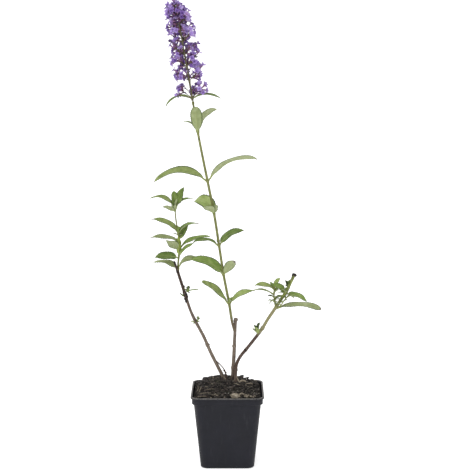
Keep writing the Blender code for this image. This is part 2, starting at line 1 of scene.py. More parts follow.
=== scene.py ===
"""Looks of the butterfly bush in its square nursery pot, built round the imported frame.

Lengths are millimetres, turned to metres by MM as each mesh is made. +Z is up and the pot's
front faces -Y. Limbs, leaves and flowers grow by the same rules as the solids they replace.
"""

import math
import random
from collections import namedtuple

import bpy
import numpy as np
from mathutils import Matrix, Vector, noise


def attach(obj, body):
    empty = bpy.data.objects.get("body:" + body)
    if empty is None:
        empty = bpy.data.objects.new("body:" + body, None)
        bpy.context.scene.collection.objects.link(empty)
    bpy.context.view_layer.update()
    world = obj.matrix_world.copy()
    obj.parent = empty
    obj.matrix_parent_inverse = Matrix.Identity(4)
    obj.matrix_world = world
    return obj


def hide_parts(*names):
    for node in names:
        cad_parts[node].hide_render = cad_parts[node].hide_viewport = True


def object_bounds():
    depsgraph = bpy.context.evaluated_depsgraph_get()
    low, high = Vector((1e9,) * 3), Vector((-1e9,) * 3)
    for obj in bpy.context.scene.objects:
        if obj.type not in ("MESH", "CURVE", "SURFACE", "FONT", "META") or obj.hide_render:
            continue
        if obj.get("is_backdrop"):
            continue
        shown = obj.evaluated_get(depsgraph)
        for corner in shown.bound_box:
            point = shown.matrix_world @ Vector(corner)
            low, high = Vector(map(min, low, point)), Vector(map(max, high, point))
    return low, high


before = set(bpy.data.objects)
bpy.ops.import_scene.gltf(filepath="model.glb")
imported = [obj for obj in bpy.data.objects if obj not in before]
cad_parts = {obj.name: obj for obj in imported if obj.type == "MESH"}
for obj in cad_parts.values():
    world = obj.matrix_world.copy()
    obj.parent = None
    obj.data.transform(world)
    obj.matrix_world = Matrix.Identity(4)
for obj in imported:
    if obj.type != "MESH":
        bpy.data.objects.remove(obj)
cad_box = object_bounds()

MM = 0.001

# Camera, fitted to the pot's lip, corners and underside
CAMERA_PLACE = (9.3, -1300.0, 450.0)
# Radians below level
CAMERA_PITCH = 0.1255
CAMERA_LENS = 81.7
SENSOR_WIDTH = 36.0

# Pot
POT_HEIGHT = 92.0
LIP_HALF = 45.0
LIP_TALL = 2.2
LIP_WIDE = 2.2
BAND_HALF = 43.4
BAND_TALL = 7.4
BODY_TOP_HALF = 41.2
BASE_HALF = 33.0
CORNER_RADIUS = 10.0
CORNER_STEPS = 12
SIDE_STEPS = 6
WALL = 1.1
FLOOR = 1.5
DRAIN_RADIUS = 3.6
DRAIN_OUT = 17.0
DRAIN_SIDES = 32
COUNTERSINK = 0.4

# Soil
SOIL_EDGE_Z = 88.0
SOIL_TOP_Z = 103.0
MOUND_CENTRE = (-2.0, 9.0)
MOUND_SPREAD = (37.0, 31.0)
MOUND_EXTRA = 3.0
SOIL_HALF = 41.2
SOIL_RINGS = 84
SOIL_FOOT_Z = 84.0
SOIL_LUMP = 1.5
SOIL_CRUMB = 0.7
# The mound is at its full height this many times nearer to the wall than its middle is
EDGE_SLOPE = 4.5
# Height of the canes' flat feet, inside the peat
ROOTED_Z = 99.0

# Guide points (x, y, z, radius) that each limb passes through, foot to tip
CANE_MIDDLE = [
    (6.4, 4.0, ROOTED_Z, 3.1), (6.9, 4.0, 110, 2.6), (7.2, 3.5, 121, 2.4),
    (7.9, 3.5, 133, 2.3), (8.8, 3.5, 154, 2.1), (10.0, 4.0, 181.5, 1.9),
]
CANE_LEFT = [
    (-1.8, 3.0, ROOTED_Z, 2.8), (-6.8, 3.0, 109, 2.3), (-14.3, 3.0, 124, 2.1),
    (-21.1, 4.0, 138, 2.1), (-31.0, 6.0, 160, 2.0), (-39.8, 8.0, 176, 2.0),
    (-46.0, 10.0, 189, 1.8), (-53.4, 12.0, 211, 1.9), (-60.8, 14.5, 234, 1.9),
    (-66.6, 16.0, 251, 1.2),
]
CANE_RIGHT = [
    (10.2, -1.8, ROOTED_Z, 2.2), (10.0, -1.8, 111, 2.0), (11.3, -1.8, 124, 2.0),
    (15.9, -2.5, 134, 2.0), (23.6, -4.0, 144, 2.0), (36.2, -7.0, 161, 2.0),
    (43.0, -8.8, 171, 2.0), (49.2, -10.0, 182, 2.0), (59.4, -12.5, 198, 2.0),
    (66.2, -14.0, 209, 1.9), (72.0, -15.0, 218, 2.0), (76.4, -16.0, 228, 1.9),
    (81.4, -17.0, 239, 1.8),
]
FLOWERING_STEM = [
    (9.0, 3.2, 164, 1.5), (6.4, 0.6, 174, 1.6), (2.0, -2.0, 201, 1.6),
    (-4.7, -4.0, 237, 1.5), (-10.3, -5.0, 274, 1.5), (-16.1, -5.0, 312, 1.5),
    (-24.2, -4.0, 353, 1.5), (-35.6, -2.0, 411, 1.35), (-41.8, -0.1, 449, 1.1),
]
RACHIS = [
    (-41.88, -0.08, 449.45, 1.3), (-45.9, 1.0, 474, 1.1), (-52.4, 2.6, 510, 0.9),
    (-59.4, 4.0, 549, 0.7), (-64.6, 5.0, 570, 0.5),
]
SHOOT_LEFT = [
    (-61.4, 15.0, 236, 1.3), (-61.8, 17.6, 245, 1.2), (-60.4, 17.6, 262, 1.1),
    (-60.3, 17.6, 276, 1.0), (-62.0, 17.8, 288, 0.9), (-64.9, 18.0, 312, 0.8),
    (-65.0, 18.0, 321, 0.7),
]
SHOOT_RIGHT = [
    (59.6, -13.6, 197, 1.0), (57.8, -15.2, 206, 0.9), (57.0, -14.6, 216, 0.8),
    (57.8, -14.0, 224, 0.7),
]
SIDE_TWIG_RIGHT = [
    (61.4, -14.2, 198, 0.8), (65.0, -17.0, 201, 0.7), (69.5, -18.0, 208, 0.7),
    (76.0, -18.4, 215, 0.6),
]
DRY_TWIG = [
    (-14.0, 1.6, 127.2, 0.7), (-8.4, -1.0, 122.4, 0.65), (-4.0, -2.0, 117, 0.65),
    (-1.8, -3.0, 110, 0.6), (-1.3, -3.5, 101, 0.7),
]
STEM_NODES = (201, 237, 274, 313, 353, 411, 447)

# A leaf leaves its limb at height z. Heading turns from +X towards +Y, rise is the angle it
# starts up at, droop how far that angle has fallen at the tip, and roll turns the blade about
# its rib. Tone names its green, and a smaller tip makes a blunter point. Fold is the slope of the
# two halves, dry the share that has withered from the tip, and hook how far the tip turns down.
Leaf = namedtuple("Leaf", "z heading rise droop length width roll tone tip fold dry hook under",
                  defaults=("mid", 0.9, 0.26, 0.0, 14, "leaf_felt"))

STEM_LEAVES = {
    "leaf_pair_1": [
        Leaf(201, 200, 56, 31, 46, 13.5, 38, "soft", 0.5),
        Leaf(201, 0, 56, 60, 37, 9.5, -35, "fresh", dry=0.05),
        Leaf(202.5, 40, 60, 30, 9, 3.6, 0, "fresh"),
        Leaf(202, 285, 66, 20, 9, 3.6, 0, "fresh", under="leaf_mid"),
    ],
    "leaf_pair_2": [
        Leaf(237, 172, 59, 70, 47, 15.5, 38, "mid", 0.8),
        Leaf(237, -30, 68, 42, 25, 12, 50, "pale", 0.55, 0.2, dry=0.14, hook=110),
        Leaf(238, 215, 55, 20, 8, 3, 0, "fresh"),
    ],
    "leaf_pair_3": [
        Leaf(274, 200, 44, 73, 36, 10, 20, "deep"),
        Leaf(274, 10, 62, 66, 38, 12, -35, "deep", dry=0.07, hook=50),
        Leaf(275, 110, 70, 20, 10, 4, 0, "mid"),
    ],
    "leaf_pair_4": [
        Leaf(313, 140, 72, 108, 41, 18, 40, "fresh"),
        Leaf(313, 300, 75, 10, 12, 9, 0, "pale", 0.6),
        Leaf(313, 232, 52, 56, 23, 13, -20, "pale", 0.8),
    ],
    "leaf_pair_5": [
        Leaf(353, 186, 42, 87, 71.5, 18, 25, "soft", dry=0.04),
        Leaf(353, -10, 58, 69, 70.5, 16, 20, "fresh", 0.5, dry=0.04),
    ],
    "leaf_pair_6": [
        Leaf(411, 262, 68, 20, 37.5, 14.5, -10, "pale", 0.55, under="leaf_pale"),
        Leaf(411, 25, 92, 88, 42, 12.5, 60, "mid", 1.0, hook=80),
        Leaf(412, 160, 76, 86, 25, 7, 0, "mid"),
    ],
}
BRACTS = [
    Leaf(453, 185, 29, 101, 39, 5, 30, "deep"), Leaf(453, -8, 29, 64, 38, 4.6, -35, "deep"),
]
SHOOT_LEFT_LEAVES = [
    Leaf(241, 165, 44, 66, 36, 10, 26, "pale", 1.3, dry=0.08, under="leaf_fresh"),
    Leaf(244, 0, 60, 96, 35, 10, -30, "pale"), Leaf(255, 200, 21, 36, 31, 13, 45, "deep"),
    Leaf(259, -40, 45, 22, 32, 10.5, 5, "mid", under="leaf_mid"),
    Leaf(265, 228, 40, 16, 28, 12.5, -40, "pale", 1.3), Leaf(268, -5, 45, 51, 43, 9.6, -25, "mid"),
    Leaf(276, 190, 28, 44, 40, 10.5, 26, "pale", 1.25, dry=0.16),
    Leaf(277, 40, 70, 28, 27, 9.5, -40, "mid"), Leaf(285, 20, 57, 30, 20, 6.5, -60, "mid"),
    Leaf(286, -15, 60, 76, 34, 8.5, -15, "mid", 1.1, dry=0.2, hook=30),
    Leaf(288, 175, 54, 63, 40, 11.5, 28, "soft", 1.3, dry=0.16),
    Leaf(313, 230, 34, 30, 24, 6.2, -45, "pale", dry=0.08, hook=-30),
    Leaf(313, 100, 50, 50, 25, 7.3, 10, "mid"), Leaf(317, 185, 66, 90, 38, 10.4, 22, "soft"),
    Leaf(317, 0, 68, 84, 29, 6.7, -15, "mid"), Leaf(319, 112, 80, 8, 20, 10.5, -10, "mid", 0.7),
    Leaf(319, 40, 66, 12, 28, 13, -25, "mid", 1.2), Leaf(285, 196, 20, 30, 7, 2.4, 0, "dusk"),
    Leaf(284, -10, 25, 30, 7, 2.4, 0, "dusk"),
    Leaf(258, 278, 78, 12, 19, 6.4, 0, "young", under="leaf_young"),
    Leaf(267, 262, 78, 12, 17, 5.8, 10, "young", under="leaf_young"),
    Leaf(270, 120, 60, 20, 12, 5, 0, "mid"),
    Leaf(286, 285, 62, 20, 12, 5, 0, "young", under="leaf_mid"),
    Leaf(287, 100, 60, 20, 11, 4.6, 0, "mid"), Leaf(314, 275, 60, 15, 11, 4.4, 0, "mid"),
    Leaf(318, 310, 76, 10, 13, 5, 0, "mid"),
]
SHOOT_RIGHT_LEAVES = [
    Leaf(206, 205, 40, 60, 10, 4, 0, "deep"), Leaf(208, 20, 50, 80, 16, 5, -20, "deep"),
    Leaf(215, 172, 34, 58, 31, 5.4, 5, "soft"), Leaf(216, 50, 55, 60, 16, 5.5, 0, "mid"),
    Leaf(221, 188, 41, 62, 27, 8.2, 34, "soft", dry=0.1), Leaf(221, 140, 70, 50, 12, 5.4, 0, "mid"),
    Leaf(222.5, 20, 82, 50, 15, 6.4, -35, "fresh"), Leaf(212, 200, 30, 50, 9, 4, 20, "dusk"),
    Leaf(209, 190, -20, 50, 9, 3.4, 0, "dusk"), Leaf(211, 330, 40, 60, 9, 3.6, 0, "dusk"),
    Leaf(218, 320, 40, 40, 9, 3.6, 0, "deep"), Leaf(204, 300, 45, 30, 8, 3.4, 0, "deep"),
]
SIDE_TWIG_LEAVES = [
    Leaf(214, -35, 10, 70, 9, 4.5, 10, "pale"), Leaf(213, 255, 30, 40, 7, 3.5, 0, "mid"),
    Leaf(202, 200, 50, 90, 11, 3.4, 0, "dusk"), Leaf(206, 180, 60, 100, 12, 3.2, 0, "dusk"),
    Leaf(208, 300, 30, 40, 7, 3.4, 0, "dusk"), Leaf(204, 280, 55, 30, 7, 3.2, 0, "deep"),
    Leaf(210, 120, 50, 40, 8, 3.6, 0, "deep"),
]
CANE_RIGHT_LEAVES = [
    Leaf(198, -17, 23, 44, 57.2, 12, -22, "pale", 0.4, 0.2, dry=0.04),
    Leaf(216, 10, 0, 46, 30, 10, -35, "mid"), Leaf(216, 200, 66, 62, 20, 9, 60, "mid"),
    Leaf(217, 235, 60, 70, 12, 5, 10, "deep"), Leaf(217, 70, 45, 60, 15, 6, 0, "mid"),
    Leaf(217, 280, 55, 40, 7, 3.6, 0, "fresh"), Leaf(216, 190, 30, 60, 9, 2.6, 0, "dusk"),
]
# Little shoots that break from a bare cane: where each starts, the points its stalk passes, and
# its leaves as (share up the stalk, heading, rise, droop, length, width, tone)
TUFTS = {
    "bud_tuft_left_upper": [
        (CANE_LEFT, 218, [(-52.5, 9.6, 216.5), (-50.2, 8.4, 214.2), (-48.6, 7.6, 217.6)], [
            (0.6, 0, 22, 32, 16, 2.6, "mid"), (0.55, -10, -25, 20, 5, 3.2, "dusk"),
            (0.9, 200, 60, 20, 4.4, 3.4, "dusk"), (0.9, 20, 60, 20, 4.2, 3.4, "dusk"),
            (1.0, 90, 70, 30, 4.4, 3.2, "dusk"), (1.0, 270, 60, 30, 4.0, 3.4, "dusk"),
            (0.8, 310, 50, 20, 3.8, 3.2, "mid"), (0.8, 130, 40, 20, 4.0, 3.2, "dusk"),
        ]),
        (CANE_LEFT, 210, [(-56.6, 10.8, 209.6)], [
            (0.8, 205, 15, -60, 5.0, 2.4, "dusk"), (0.6, 245, -35, 0, 3.4, 2.0, "mid"),
        ]),
    ],
    "bud_tuft_left_lower": [
        (CANE_LEFT, 176.5, [(-37.6, 6.2, 178.0), (-36.6, 5.6, 179.6)], [
            (0.4, -15, 48, 20, 7.0, 3.8, "pale"), (0.7, 20, 72, 10, 5.4, 3.6, "pale"),
            (0.2, 5, -5, 20, 5.0, 3.0, "pale"), (0.5, -60, 40, 20, 4.6, 3.0, "mid"),
            (0.9, 100, 60, 20, 4.6, 3.2, "deep"),
        ]),
        (CANE_LEFT, 175.5, [(-41.6, 7.2, 176.6)], [
            (0.7, 205, 15, 20, 5.4, 3.0, "fresh"), (0.5, 240, -25, 20, 4.2, 2.6, "pale"),
        ]),
    ],
    "bud_tuft_right": [
        (CANE_RIGHT, 163.5, [(36.4, -9.6, 166.6), (37.2, -10.6, 170.0)], [
            (0.9, 40, 74, 6, 9.6, 5.2, "dusk"), (0.7, 160, 66, 10, 9.0, 5.4, "mid"),
            (0.5, 185, 40, 5, 7.4, 5.0, "pale"), (0.6, 250, 60, 10, 8.0, 5.2, "fresh"),
            (0.3, 310, 58, 10, 8.0, 5.0, "fresh"), (0.8, 100, 60, 20, 7.0, 5.0, "deep"),
            (0.9, 205, 62, 8, 7.6, 4.8, "dusk"),
        ]),
    ],
    "bud_tuft_right_tip": [
        (CANE_RIGHT, 224.5, [(73.6, -17.4, 225.0), (73.2, -17.8, 226.4)], [
            (0.8, 165, 70, 6, 7.6, 6.4, "dusk"), (0.9, 20, 70, 8, 8.0, 6.0, "deep"),
            (0.4, 215, 40, 20, 5.4, 3.8, "dusk"), (0.9, 90, 60, 20, 5.2, 3.8, "dusk"),
        ]),
    ],
}
TUFT_STALK_RADIUS = 0.55

# Leaf blade
PETIOLE_HALF = 0.7
PETIOLE_SHARE = 0.08
TIP_HALF = 0.6
BLADE_RISE = 0.6
TOOTH_PITCH = 3.0
TOOTH_DEPTH = 0.8
STATIONS_A_TOOTH = 4
BLADE_COLUMNS = (0.0, 0.2, 0.42, 0.64, 0.83, 0.95, 1.0)
RIB_HALF = 0.42
RIB_GROOVE = 0.3
RIB_RIDGE = 0.55
VEIN_PITCH = 4.4
VEIN_SLANT = 0.8
VEIN_PUFF = 0.34
FULL_RELIEF_WIDTH = 11.0
BLADE_THICK = 0.34
MARGIN_THICK = 0.14
WAVE = 0.7
CURL = 0.35
SUNK_IN_STEM = 0.7

# Flower panicle: tiers of four cymes, of which the left and right ones are the fullest
FLORET_SEED = 3
TIERS = 10
FIRST_INTERNODE = 20.0
INTERNODE_SHRINK = 0.87
REACH_BELOW = 17.6
REACH_ABOVE = 7.0
REACH_POWER = 3.0
CYMES_A_TIER = 4
FRONT_CYME = 3
INNER_CYME = 0.8
CYME_SWING = 14.0
CYME_LIFT = 40.0
CYME_FLORETS = (23, 8, 23, 5)
CYME_SPACING = (0.6, 1.0, 0.6, 1.1)
LOWEST_FLORETS = 8
LOWEST_SPACING = 0.3
LOWEST_MOUTH = 6.5
FAN_ANGLE = 54.0
# The lower tiers have no cyme in front, and few florets stand within OPEN_HALF of the rachis there
OPEN_FRONT_TIERS = 6
OPEN_HALF = 4.2
OPEN_CHANCE = 0.8
OPEN_SHARE_UP = 0.92
# Florets keep this far apart, and under a cone whose point is at this height
FLORET_ROOM = 3.05
DOME_TOP_Z = 572.0
LILAC_BUDS_FROM = 0.85
OWN_TONE_CHANCE = 0.6
CROWN_BUDS = 8
CROWN_LEAN = 0.6
CROWN_BUD_LENGTH = 5.2
CROWN_BUD_RADIUS = 0.8
LOBE_REACH = 4.2
LOBE_STEPS = 24
LOBE_RINGS = (0.18, 0.34, 0.56, 0.8, 1.0)
LOBE_THICK = 0.2
# Depth of the throat below the mouth, on the face and on the back of the lobes
THROAT_FACE = 0.9
THROAT_BACK = 1.2
TUBE_LENGTH = 8.0
TUBE_RADII = (0.45, 0.56, 0.7, 1.1)
TUBE_FOOT = 1.2
TUBE_TOP = 0.5
# The eye's radius, and how deep it starts and ends below the mouth
EYE_RADIUS = 0.62
EYE_FOOT = 1.3
EYE_TOP = 0.55
SMALL_SIDES = 8
STALK_RADIUS = 0.42
CALYX_LENGTH = 2.4
CALYX_RADIUS = 0.8
BUD_PROFILE = (0.35, 0.42, 0.5, 0.78, 1.0, 0.86, 0.4)
# Round unopened buds that stand clear of the rest: place, radius and finish
ROUND_BUDS = [
    (-42.9, -14.4, 491.2, 2.5, "petal_deep"), (-68.9, -4.0, 520.9, 1.9, "floret_bud"),
    (-38.2, -4.0, 517.7, 1.9, "floret_bud"), (-37.6, -12.0, 469.8, 1.7, "floret_bud"),
    (-54.6, -7.0, 468.4, 1.6, "floret_bud"), (-50.6, -7.0, 464.6, 1.1, "floret_bud"),
    (-62.0, -5.0, 456.6, 1.8, "petal_light"),
]


def paint(red, green, blue):
    """A colour from its 0 to 255 screen values."""
    shares = [value / 255 for value in (red, green, blue)]
    return [v / 12.92 if v <= 0.04045 else ((v + 0.055) / 1.055) ** 2.4 for v in shares] + [1]


# Shader tools

class Paintbox:
    """Adds the nodes of one material or node group, each in a line."""

    def __init__(self, tree):
        self.tree = tree

    def add(self, kind, **settings):
        node = self.tree.nodes.new(kind)
        for name, value in settings.items():
            setattr(node, name, value)
        return node

    def feed(self, source, node, socket):
        """Links a socket, or sets a plain value, on a node's input."""
        if isinstance(source, bpy.types.NodeSocket):
            self.tree.links.new(source, node.inputs[socket])
        else:
            node.inputs[socket].default_value = source

    def object_place(self):
        return self.add("ShaderNodeTexCoord").outputs["Object"]

    def height(self, place):
        split = self.add("ShaderNodeSeparateXYZ")
        self.feed(place, split, 0)
        return split.outputs["Z"]

    def math(self, operation, first, second=0.0):
        node = self.add("ShaderNodeMath", operation=operation)
        self.feed(first, node, 0)
        self.feed(second, node, 1)
        return node.outputs[0]

    def mix(self, share, first, second):
        """One colour over another, by a share from 0 to 1."""
        node = self.add("ShaderNodeMix", data_type="RGBA")
        self.feed(share, node, 0)
        self.feed(first, node, 6)
        self.feed(second, node, 7)
        return node.outputs[2]

    def band(self, value, low, high, to_low=0.0, to_high=1.0):
        """A value carried from one range to another, and held to it."""
        node = self.add("ShaderNodeMapRange")
        for socket, number in enumerate((value, low, high, to_low, to_high)):
            self.feed(number, node, socket)
        return node.outputs[0]

    def noise(self, place, scale, detail=4.0, rough=0.55, stretch=(1, 1, 1)):
        mapping = self.add("ShaderNodeMapping")
        mapping.inputs["Scale"].default_value = stretch
        self.feed(place, mapping, "Vector")
        node = self.add("ShaderNodeTexNoise")
        self.feed(mapping.outputs[0], node, "Vector")
        self.feed(scale, node, "Scale")
        self.feed(detail, node, "Detail")
        self.feed(rough, node, "Roughness")
        return node.outputs["Fac"]

    def bump(self, height, distance, strength=1.0):
        node = self.add("ShaderNodeBump")
        self.feed(height, node, "Height")
        self.feed(distance, node, "Distance")
        self.feed(strength, node, "Strength")
        return node.outputs[0]


def group(name, inputs, outputs, wire):
    """A node group with named sockets; wire adds its nodes and returns its output sockets."""
    tree = bpy.data.node_groups.new(name, "ShaderNodeTree")
    for label, kind, value in inputs:
        socket = tree.interface.new_socket(label, in_out="INPUT", socket_type="NodeSocket" + kind)
        socket.default_value = value
    for label, kind in outputs:
        tree.interface.new_socket(label, in_out="OUTPUT", socket_type="NodeSocket" + kind)
    box = Paintbox(tree)
    given = box.add("NodeGroupInput").outputs
    result = box.add("NodeGroupOutput")
    for label, source in wire(box, given).items():
        tree.links.new(source, result.inputs[label])
    return tree


def wire_mottle(box, given):
    """Soft blotches of a darker and a lighter shade over a base, with a fine speckle."""
    place = box.object_place()
    broad = box.noise(place, given["Scale"], 3.0, 0.5)
    fine = box.noise(place, box.math("MULTIPLY", given["Scale"], 6.0), 2.0, 0.6)
    darker = box.math("MULTIPLY", box.band(broad, 0.5, 0.3), given["Amount"])
    lighter = box.math("MULTIPLY", box.band(broad, 0.5, 0.72), given["Amount"])
    speckle = box.math("MULTIPLY", box.band(fine, 0.55, 0.75), given["Speckle"])
    colour = box.mix(darker, given["Base"], given["Dark"])
    colour = box.mix(lighter, colour, given["Light"])
    return {"Colour": box.mix(speckle, colour, given["Light"])}


def wire_grain(box, given):
    """A fine even relief, such as felt, pores or moulding grain, and the same as a mask."""
    place = box.object_place()
    fine = box.noise(place, given["Scale"], 3.0, 0.65)
    return {"Mask": fine, "Normal": box.bump(fine, given["Depth"], given["Strength"])}


def wire_fissures(box, given):
    """Long cracks that run up a limb, as a mask and as relief."""
    place = box.object_place()
    long_noise = box.noise(place, given["Scale"], 5.0, 0.6, (1, 1, 0.16))
    cracks = box.band(box.math("ABSOLUTE", box.math("SUBTRACT", long_noise, 0.5)), 0.0, 0.09)
    return {"Mask": cracks, "Normal": box.bump(cracks, given["Depth"])}


def wire_dust(box, given):
    """Pale dust that settles on faces turned up, thickest in the noise's patches."""
    geometry = box.add("ShaderNodeNewGeometry")
    turned_up = box.band(box.height(geometry.outputs["Normal"]), 0.2, 0.9)
    patches = box.band(box.noise(box.object_place(), given["Scale"], 5.0, 0.7), 0.42, 0.7)
    share = box.math("MULTIPLY", box.math("MULTIPLY", turned_up, patches), given["Amount"])
    return {"Colour": box.mix(share, given["Under"], given["Dust"]), "Mask": share}


def make_groups():
    colour = [("Base", "Color", (0.5, 0.5, 0.5, 1)), ("Dark", "Color", (0.2, 0.2, 0.2, 1)),
              ("Light", "Color", (0.8, 0.8, 0.8, 1))]
    return {
        "mottle": group("Mottle", colour + [("Scale", "Float", 120.0), ("Amount", "Float", 0.6),
                                            ("Speckle", "Float", 0.2)],
                        [("Colour", "Color")], wire_mottle),
        "grain": group("Fine grain", [("Scale", "Float", 2500.0), ("Depth", "Float", 0.0001),
                                      ("Strength", "Float", 1.0)],
                       [("Mask", "Float"), ("Normal", "Vector")], wire_grain),
        "fissures": group("Fissures", [("Scale", "Float", 900.0), ("Depth", "Float", 0.0003)],
                          [("Mask", "Float"), ("Normal", "Vector")], wire_fissures),
        "dust": group("Settled dust", [("Under", "Color", (0, 0, 0, 1)),
                                       ("Dust", "Color", (0.3, 0.25, 0.2, 1)),
                                       ("Scale", "Float", 250.0), ("Amount", "Float", 0.5)],
                      [("Colour", "Color"), ("Mask", "Float")], wire_dust),
    }


GROUPS = make_groups()


class Finish(Paintbox):
    """A material being painted: its Principled shader, with plain values set on its sockets."""

    def __init__(self, name, rough, **plain):
        self.material = bpy.data.materials.new(name)
        self.material.use_nodes = True
        super().__init__(self.material.node_tree)
        self.shader = self.tree.nodes["Principled BSDF"]
        self.shader.inputs["Roughness"].default_value = rough
        for label, value in plain.items():
            self.shader.inputs[label.replace("_", " ")].default_value = value

    def use(self, name, **values):
        """Places a shared group with its own values, and gives its outputs."""
        node = self.add("ShaderNodeGroup", node_tree=GROUPS[name])
        for label, value in values.items():
            self.feed(value, node, label)
        return node.outputs

    def paint(self, colour):
        self.feed(colour, self.shader, "Base Color")

    def relief(self, normal):
        self.feed(normal, self.shader, "Normal")


# How a mottled finish is worn: its roughness, the scale, amount and speckle of its blotches, the
# scale and depth of its fine relief, its sheen and its specular level
Skin = namedtuple("Skin", "rough scale amount speckle grain_scale grain_depth sheen specular",
                  defaults=(120.0, 0.6, 0.2, 2500.0, 0.00012, 0.0, 0.5))


def mottled(name, dark, base, light, skin):
    """A finish of soft blotches with a fine relief."""
    finish = Finish(name, skin.rough, Sheen_Weight=skin.sheen, Specular_IOR_Level=skin.specular)
    mottle = finish.use("mottle", Base=paint(*base), Dark=paint(*dark), Light=paint(*light),
                        Scale=skin.scale, Amount=skin.amount, Speckle=skin.speckle)
    finish.paint(mottle["Colour"])
    grain = finish.use("grain", Scale=skin.grain_scale, Depth=skin.grain_depth)
    finish.relief(grain["Normal"])
    return finish.material


def bark(name, cracked, *stretches):
    """Cracked bark whose colour changes up the cane: stretches are (height, colour) pairs."""
    finish = Finish(name, 0.82, Specular_IOR_Level=0.25)
    place = finish.object_place()
    wander = finish.band(finish.noise(place, 160.0, 4.0), 0.2, 0.8, -0.006, 0.006)
    at = finish.math("ADD", finish.height(place), wander)
    colour = paint(*stretches[0][1])
    for z, shade in stretches[1:]:
        share = finish.band(at, (z - 5) * MM, (z + 5) * MM)
        colour = finish.mix(share, colour, paint(*shade))
    # Pale streaks up the bark: partly its own paler strips, partly a painted highlight
    streaks = finish.noise(place, 700.0, 5.0, 0.65, (1, 1, 0.12))
    colour = finish.mix(finish.band(streaks, 0.5, 0.72, 0.0, 0.6), colour, paint(186, 174, 158))
    cracks = finish.use("fissures", Scale=800.0, Depth=0.00035)
    dark_cracks = finish.band(cracks["Mask"], 0.0, 1.0, cracked, 0.0)
    finish.paint(finish.mix(dark_cracks, colour, paint(52, 40, 32)))
    finish.relief(cracks["Normal"])
    return finish.material


def stem_skin():
    """Green skin with a pale felt, browner towards the woody foot."""
    finish = Finish("stem_skin", 0.62, Sheen_Weight=0.08)
    mottle = finish.use("mottle", Base=paint(122, 126, 66), Dark=paint(92, 94, 46),
                        Light=paint(150, 152, 92), Scale=220.0, Amount=0.8, Speckle=0.35)
    woody = finish.band(finish.height(finish.object_place()), 176 * MM, 192 * MM, 0.85, 0.0)
    finish.paint(finish.mix(woody, mottle["Colour"], paint(98, 80, 66)))
    finish.relief(finish.use("grain", Scale=3000.0, Depth=0.0002)["Normal"])
    return finish.material


def pot_plastic():
    """Black moulded plastic: satin, finely grained, dusty on top, with scuff marks and a painted
    highlight along the lip.
    """
    finish = Finish("pot_plastic", 0.52, Specular_IOR_Level=0.3)
    place = finish.object_place()
    z = finish.height(place)
    clouds = finish.band(finish.noise(place, 38.0, 5.0), 0.35, 0.7)
    colour = finish.mix(clouds, paint(18, 19, 28), paint(23, 24, 35))
    streaks = finish.noise(place, 420.0, 4.0, 0.6, (1, 1, 0.1))
    colour = finish.mix(finish.band(streaks, 0.58, 0.8, 0.0, 0.25), colour, paint(62, 62, 66))
    # A pale band along the top of the lip, broken by noise: partly scuff marks, partly a painted
    # highlight on the lip's edge
    at_lip = finish.band(z, (POT_HEIGHT - 1.6) * MM, (POT_HEIGHT - 0.3) * MM)
    scuff_and_highlight_noise = finish.band(finish.noise(place, 520.0, 5.0, 0.7), 0.36, 0.58)
    scuff_and_painted_highlight = finish.math("MULTIPLY", at_lip, finish.math("MULTIPLY", scuff_and_highlight_noise, 0.62))
    colour = finish.mix(scuff_and_painted_highlight, colour, paint(146, 142, 138))
    dusty = finish.use("dust", Under=colour, Dust=paint(114, 104, 94), Scale=330.0, Amount=0.24)
    finish.paint(dusty["Colour"])
    rubbed = finish.band(finish.noise(place, 90.0, 4.0), 0.3, 0.7, 0.38, 0.56)
    finish.feed(finish.math("ADD", rubbed, finish.math("MULTIPLY", dusty["Mask"], 0.5)),
                finish.shader, "Roughness")
    finish.relief(finish.use("grain", Scale=1500.0, Depth=0.00006)["Normal"])
    return finish.material


def peat_ground():
    """Damp dark peat with patches of olive moss."""
    finish = Finish("peat_ground", 0.95, Specular_IOR_Level=0.2)
    place = finish.object_place()
    colour = finish.use("mottle", Base=paint(38, 35, 36), Dark=paint(14, 13, 15),
                        Light=paint(84, 77, 70), Scale=260.0, Amount=0.9, Speckle=0.45)["Colour"]
    moss = finish.band(finish.noise(place, 75.0, 4.0), 0.52, 0.68, 0.0, 0.45)
    finish.paint(finish.mix(moss, colour, paint(66, 66, 44)))
    finish.relief(finish.use("grain", Scale=900.0, Depth=0.0006)["Normal"])
    return finish.material


LEAF_SKIN = Skin(0.55, 150.0, 0.7, 0.25, 3200.0, 0.00016, 0.04, 0.22)
PETAL_SKIN = Skin(0.6, 420.0, 0.85, 0.3, 3600.0, 0.0001, 0.25, 0.25)
PEAT_SKIN = Skin(0.95, 600.0, 0.9, 0.3, 1500.0, 0.0004)

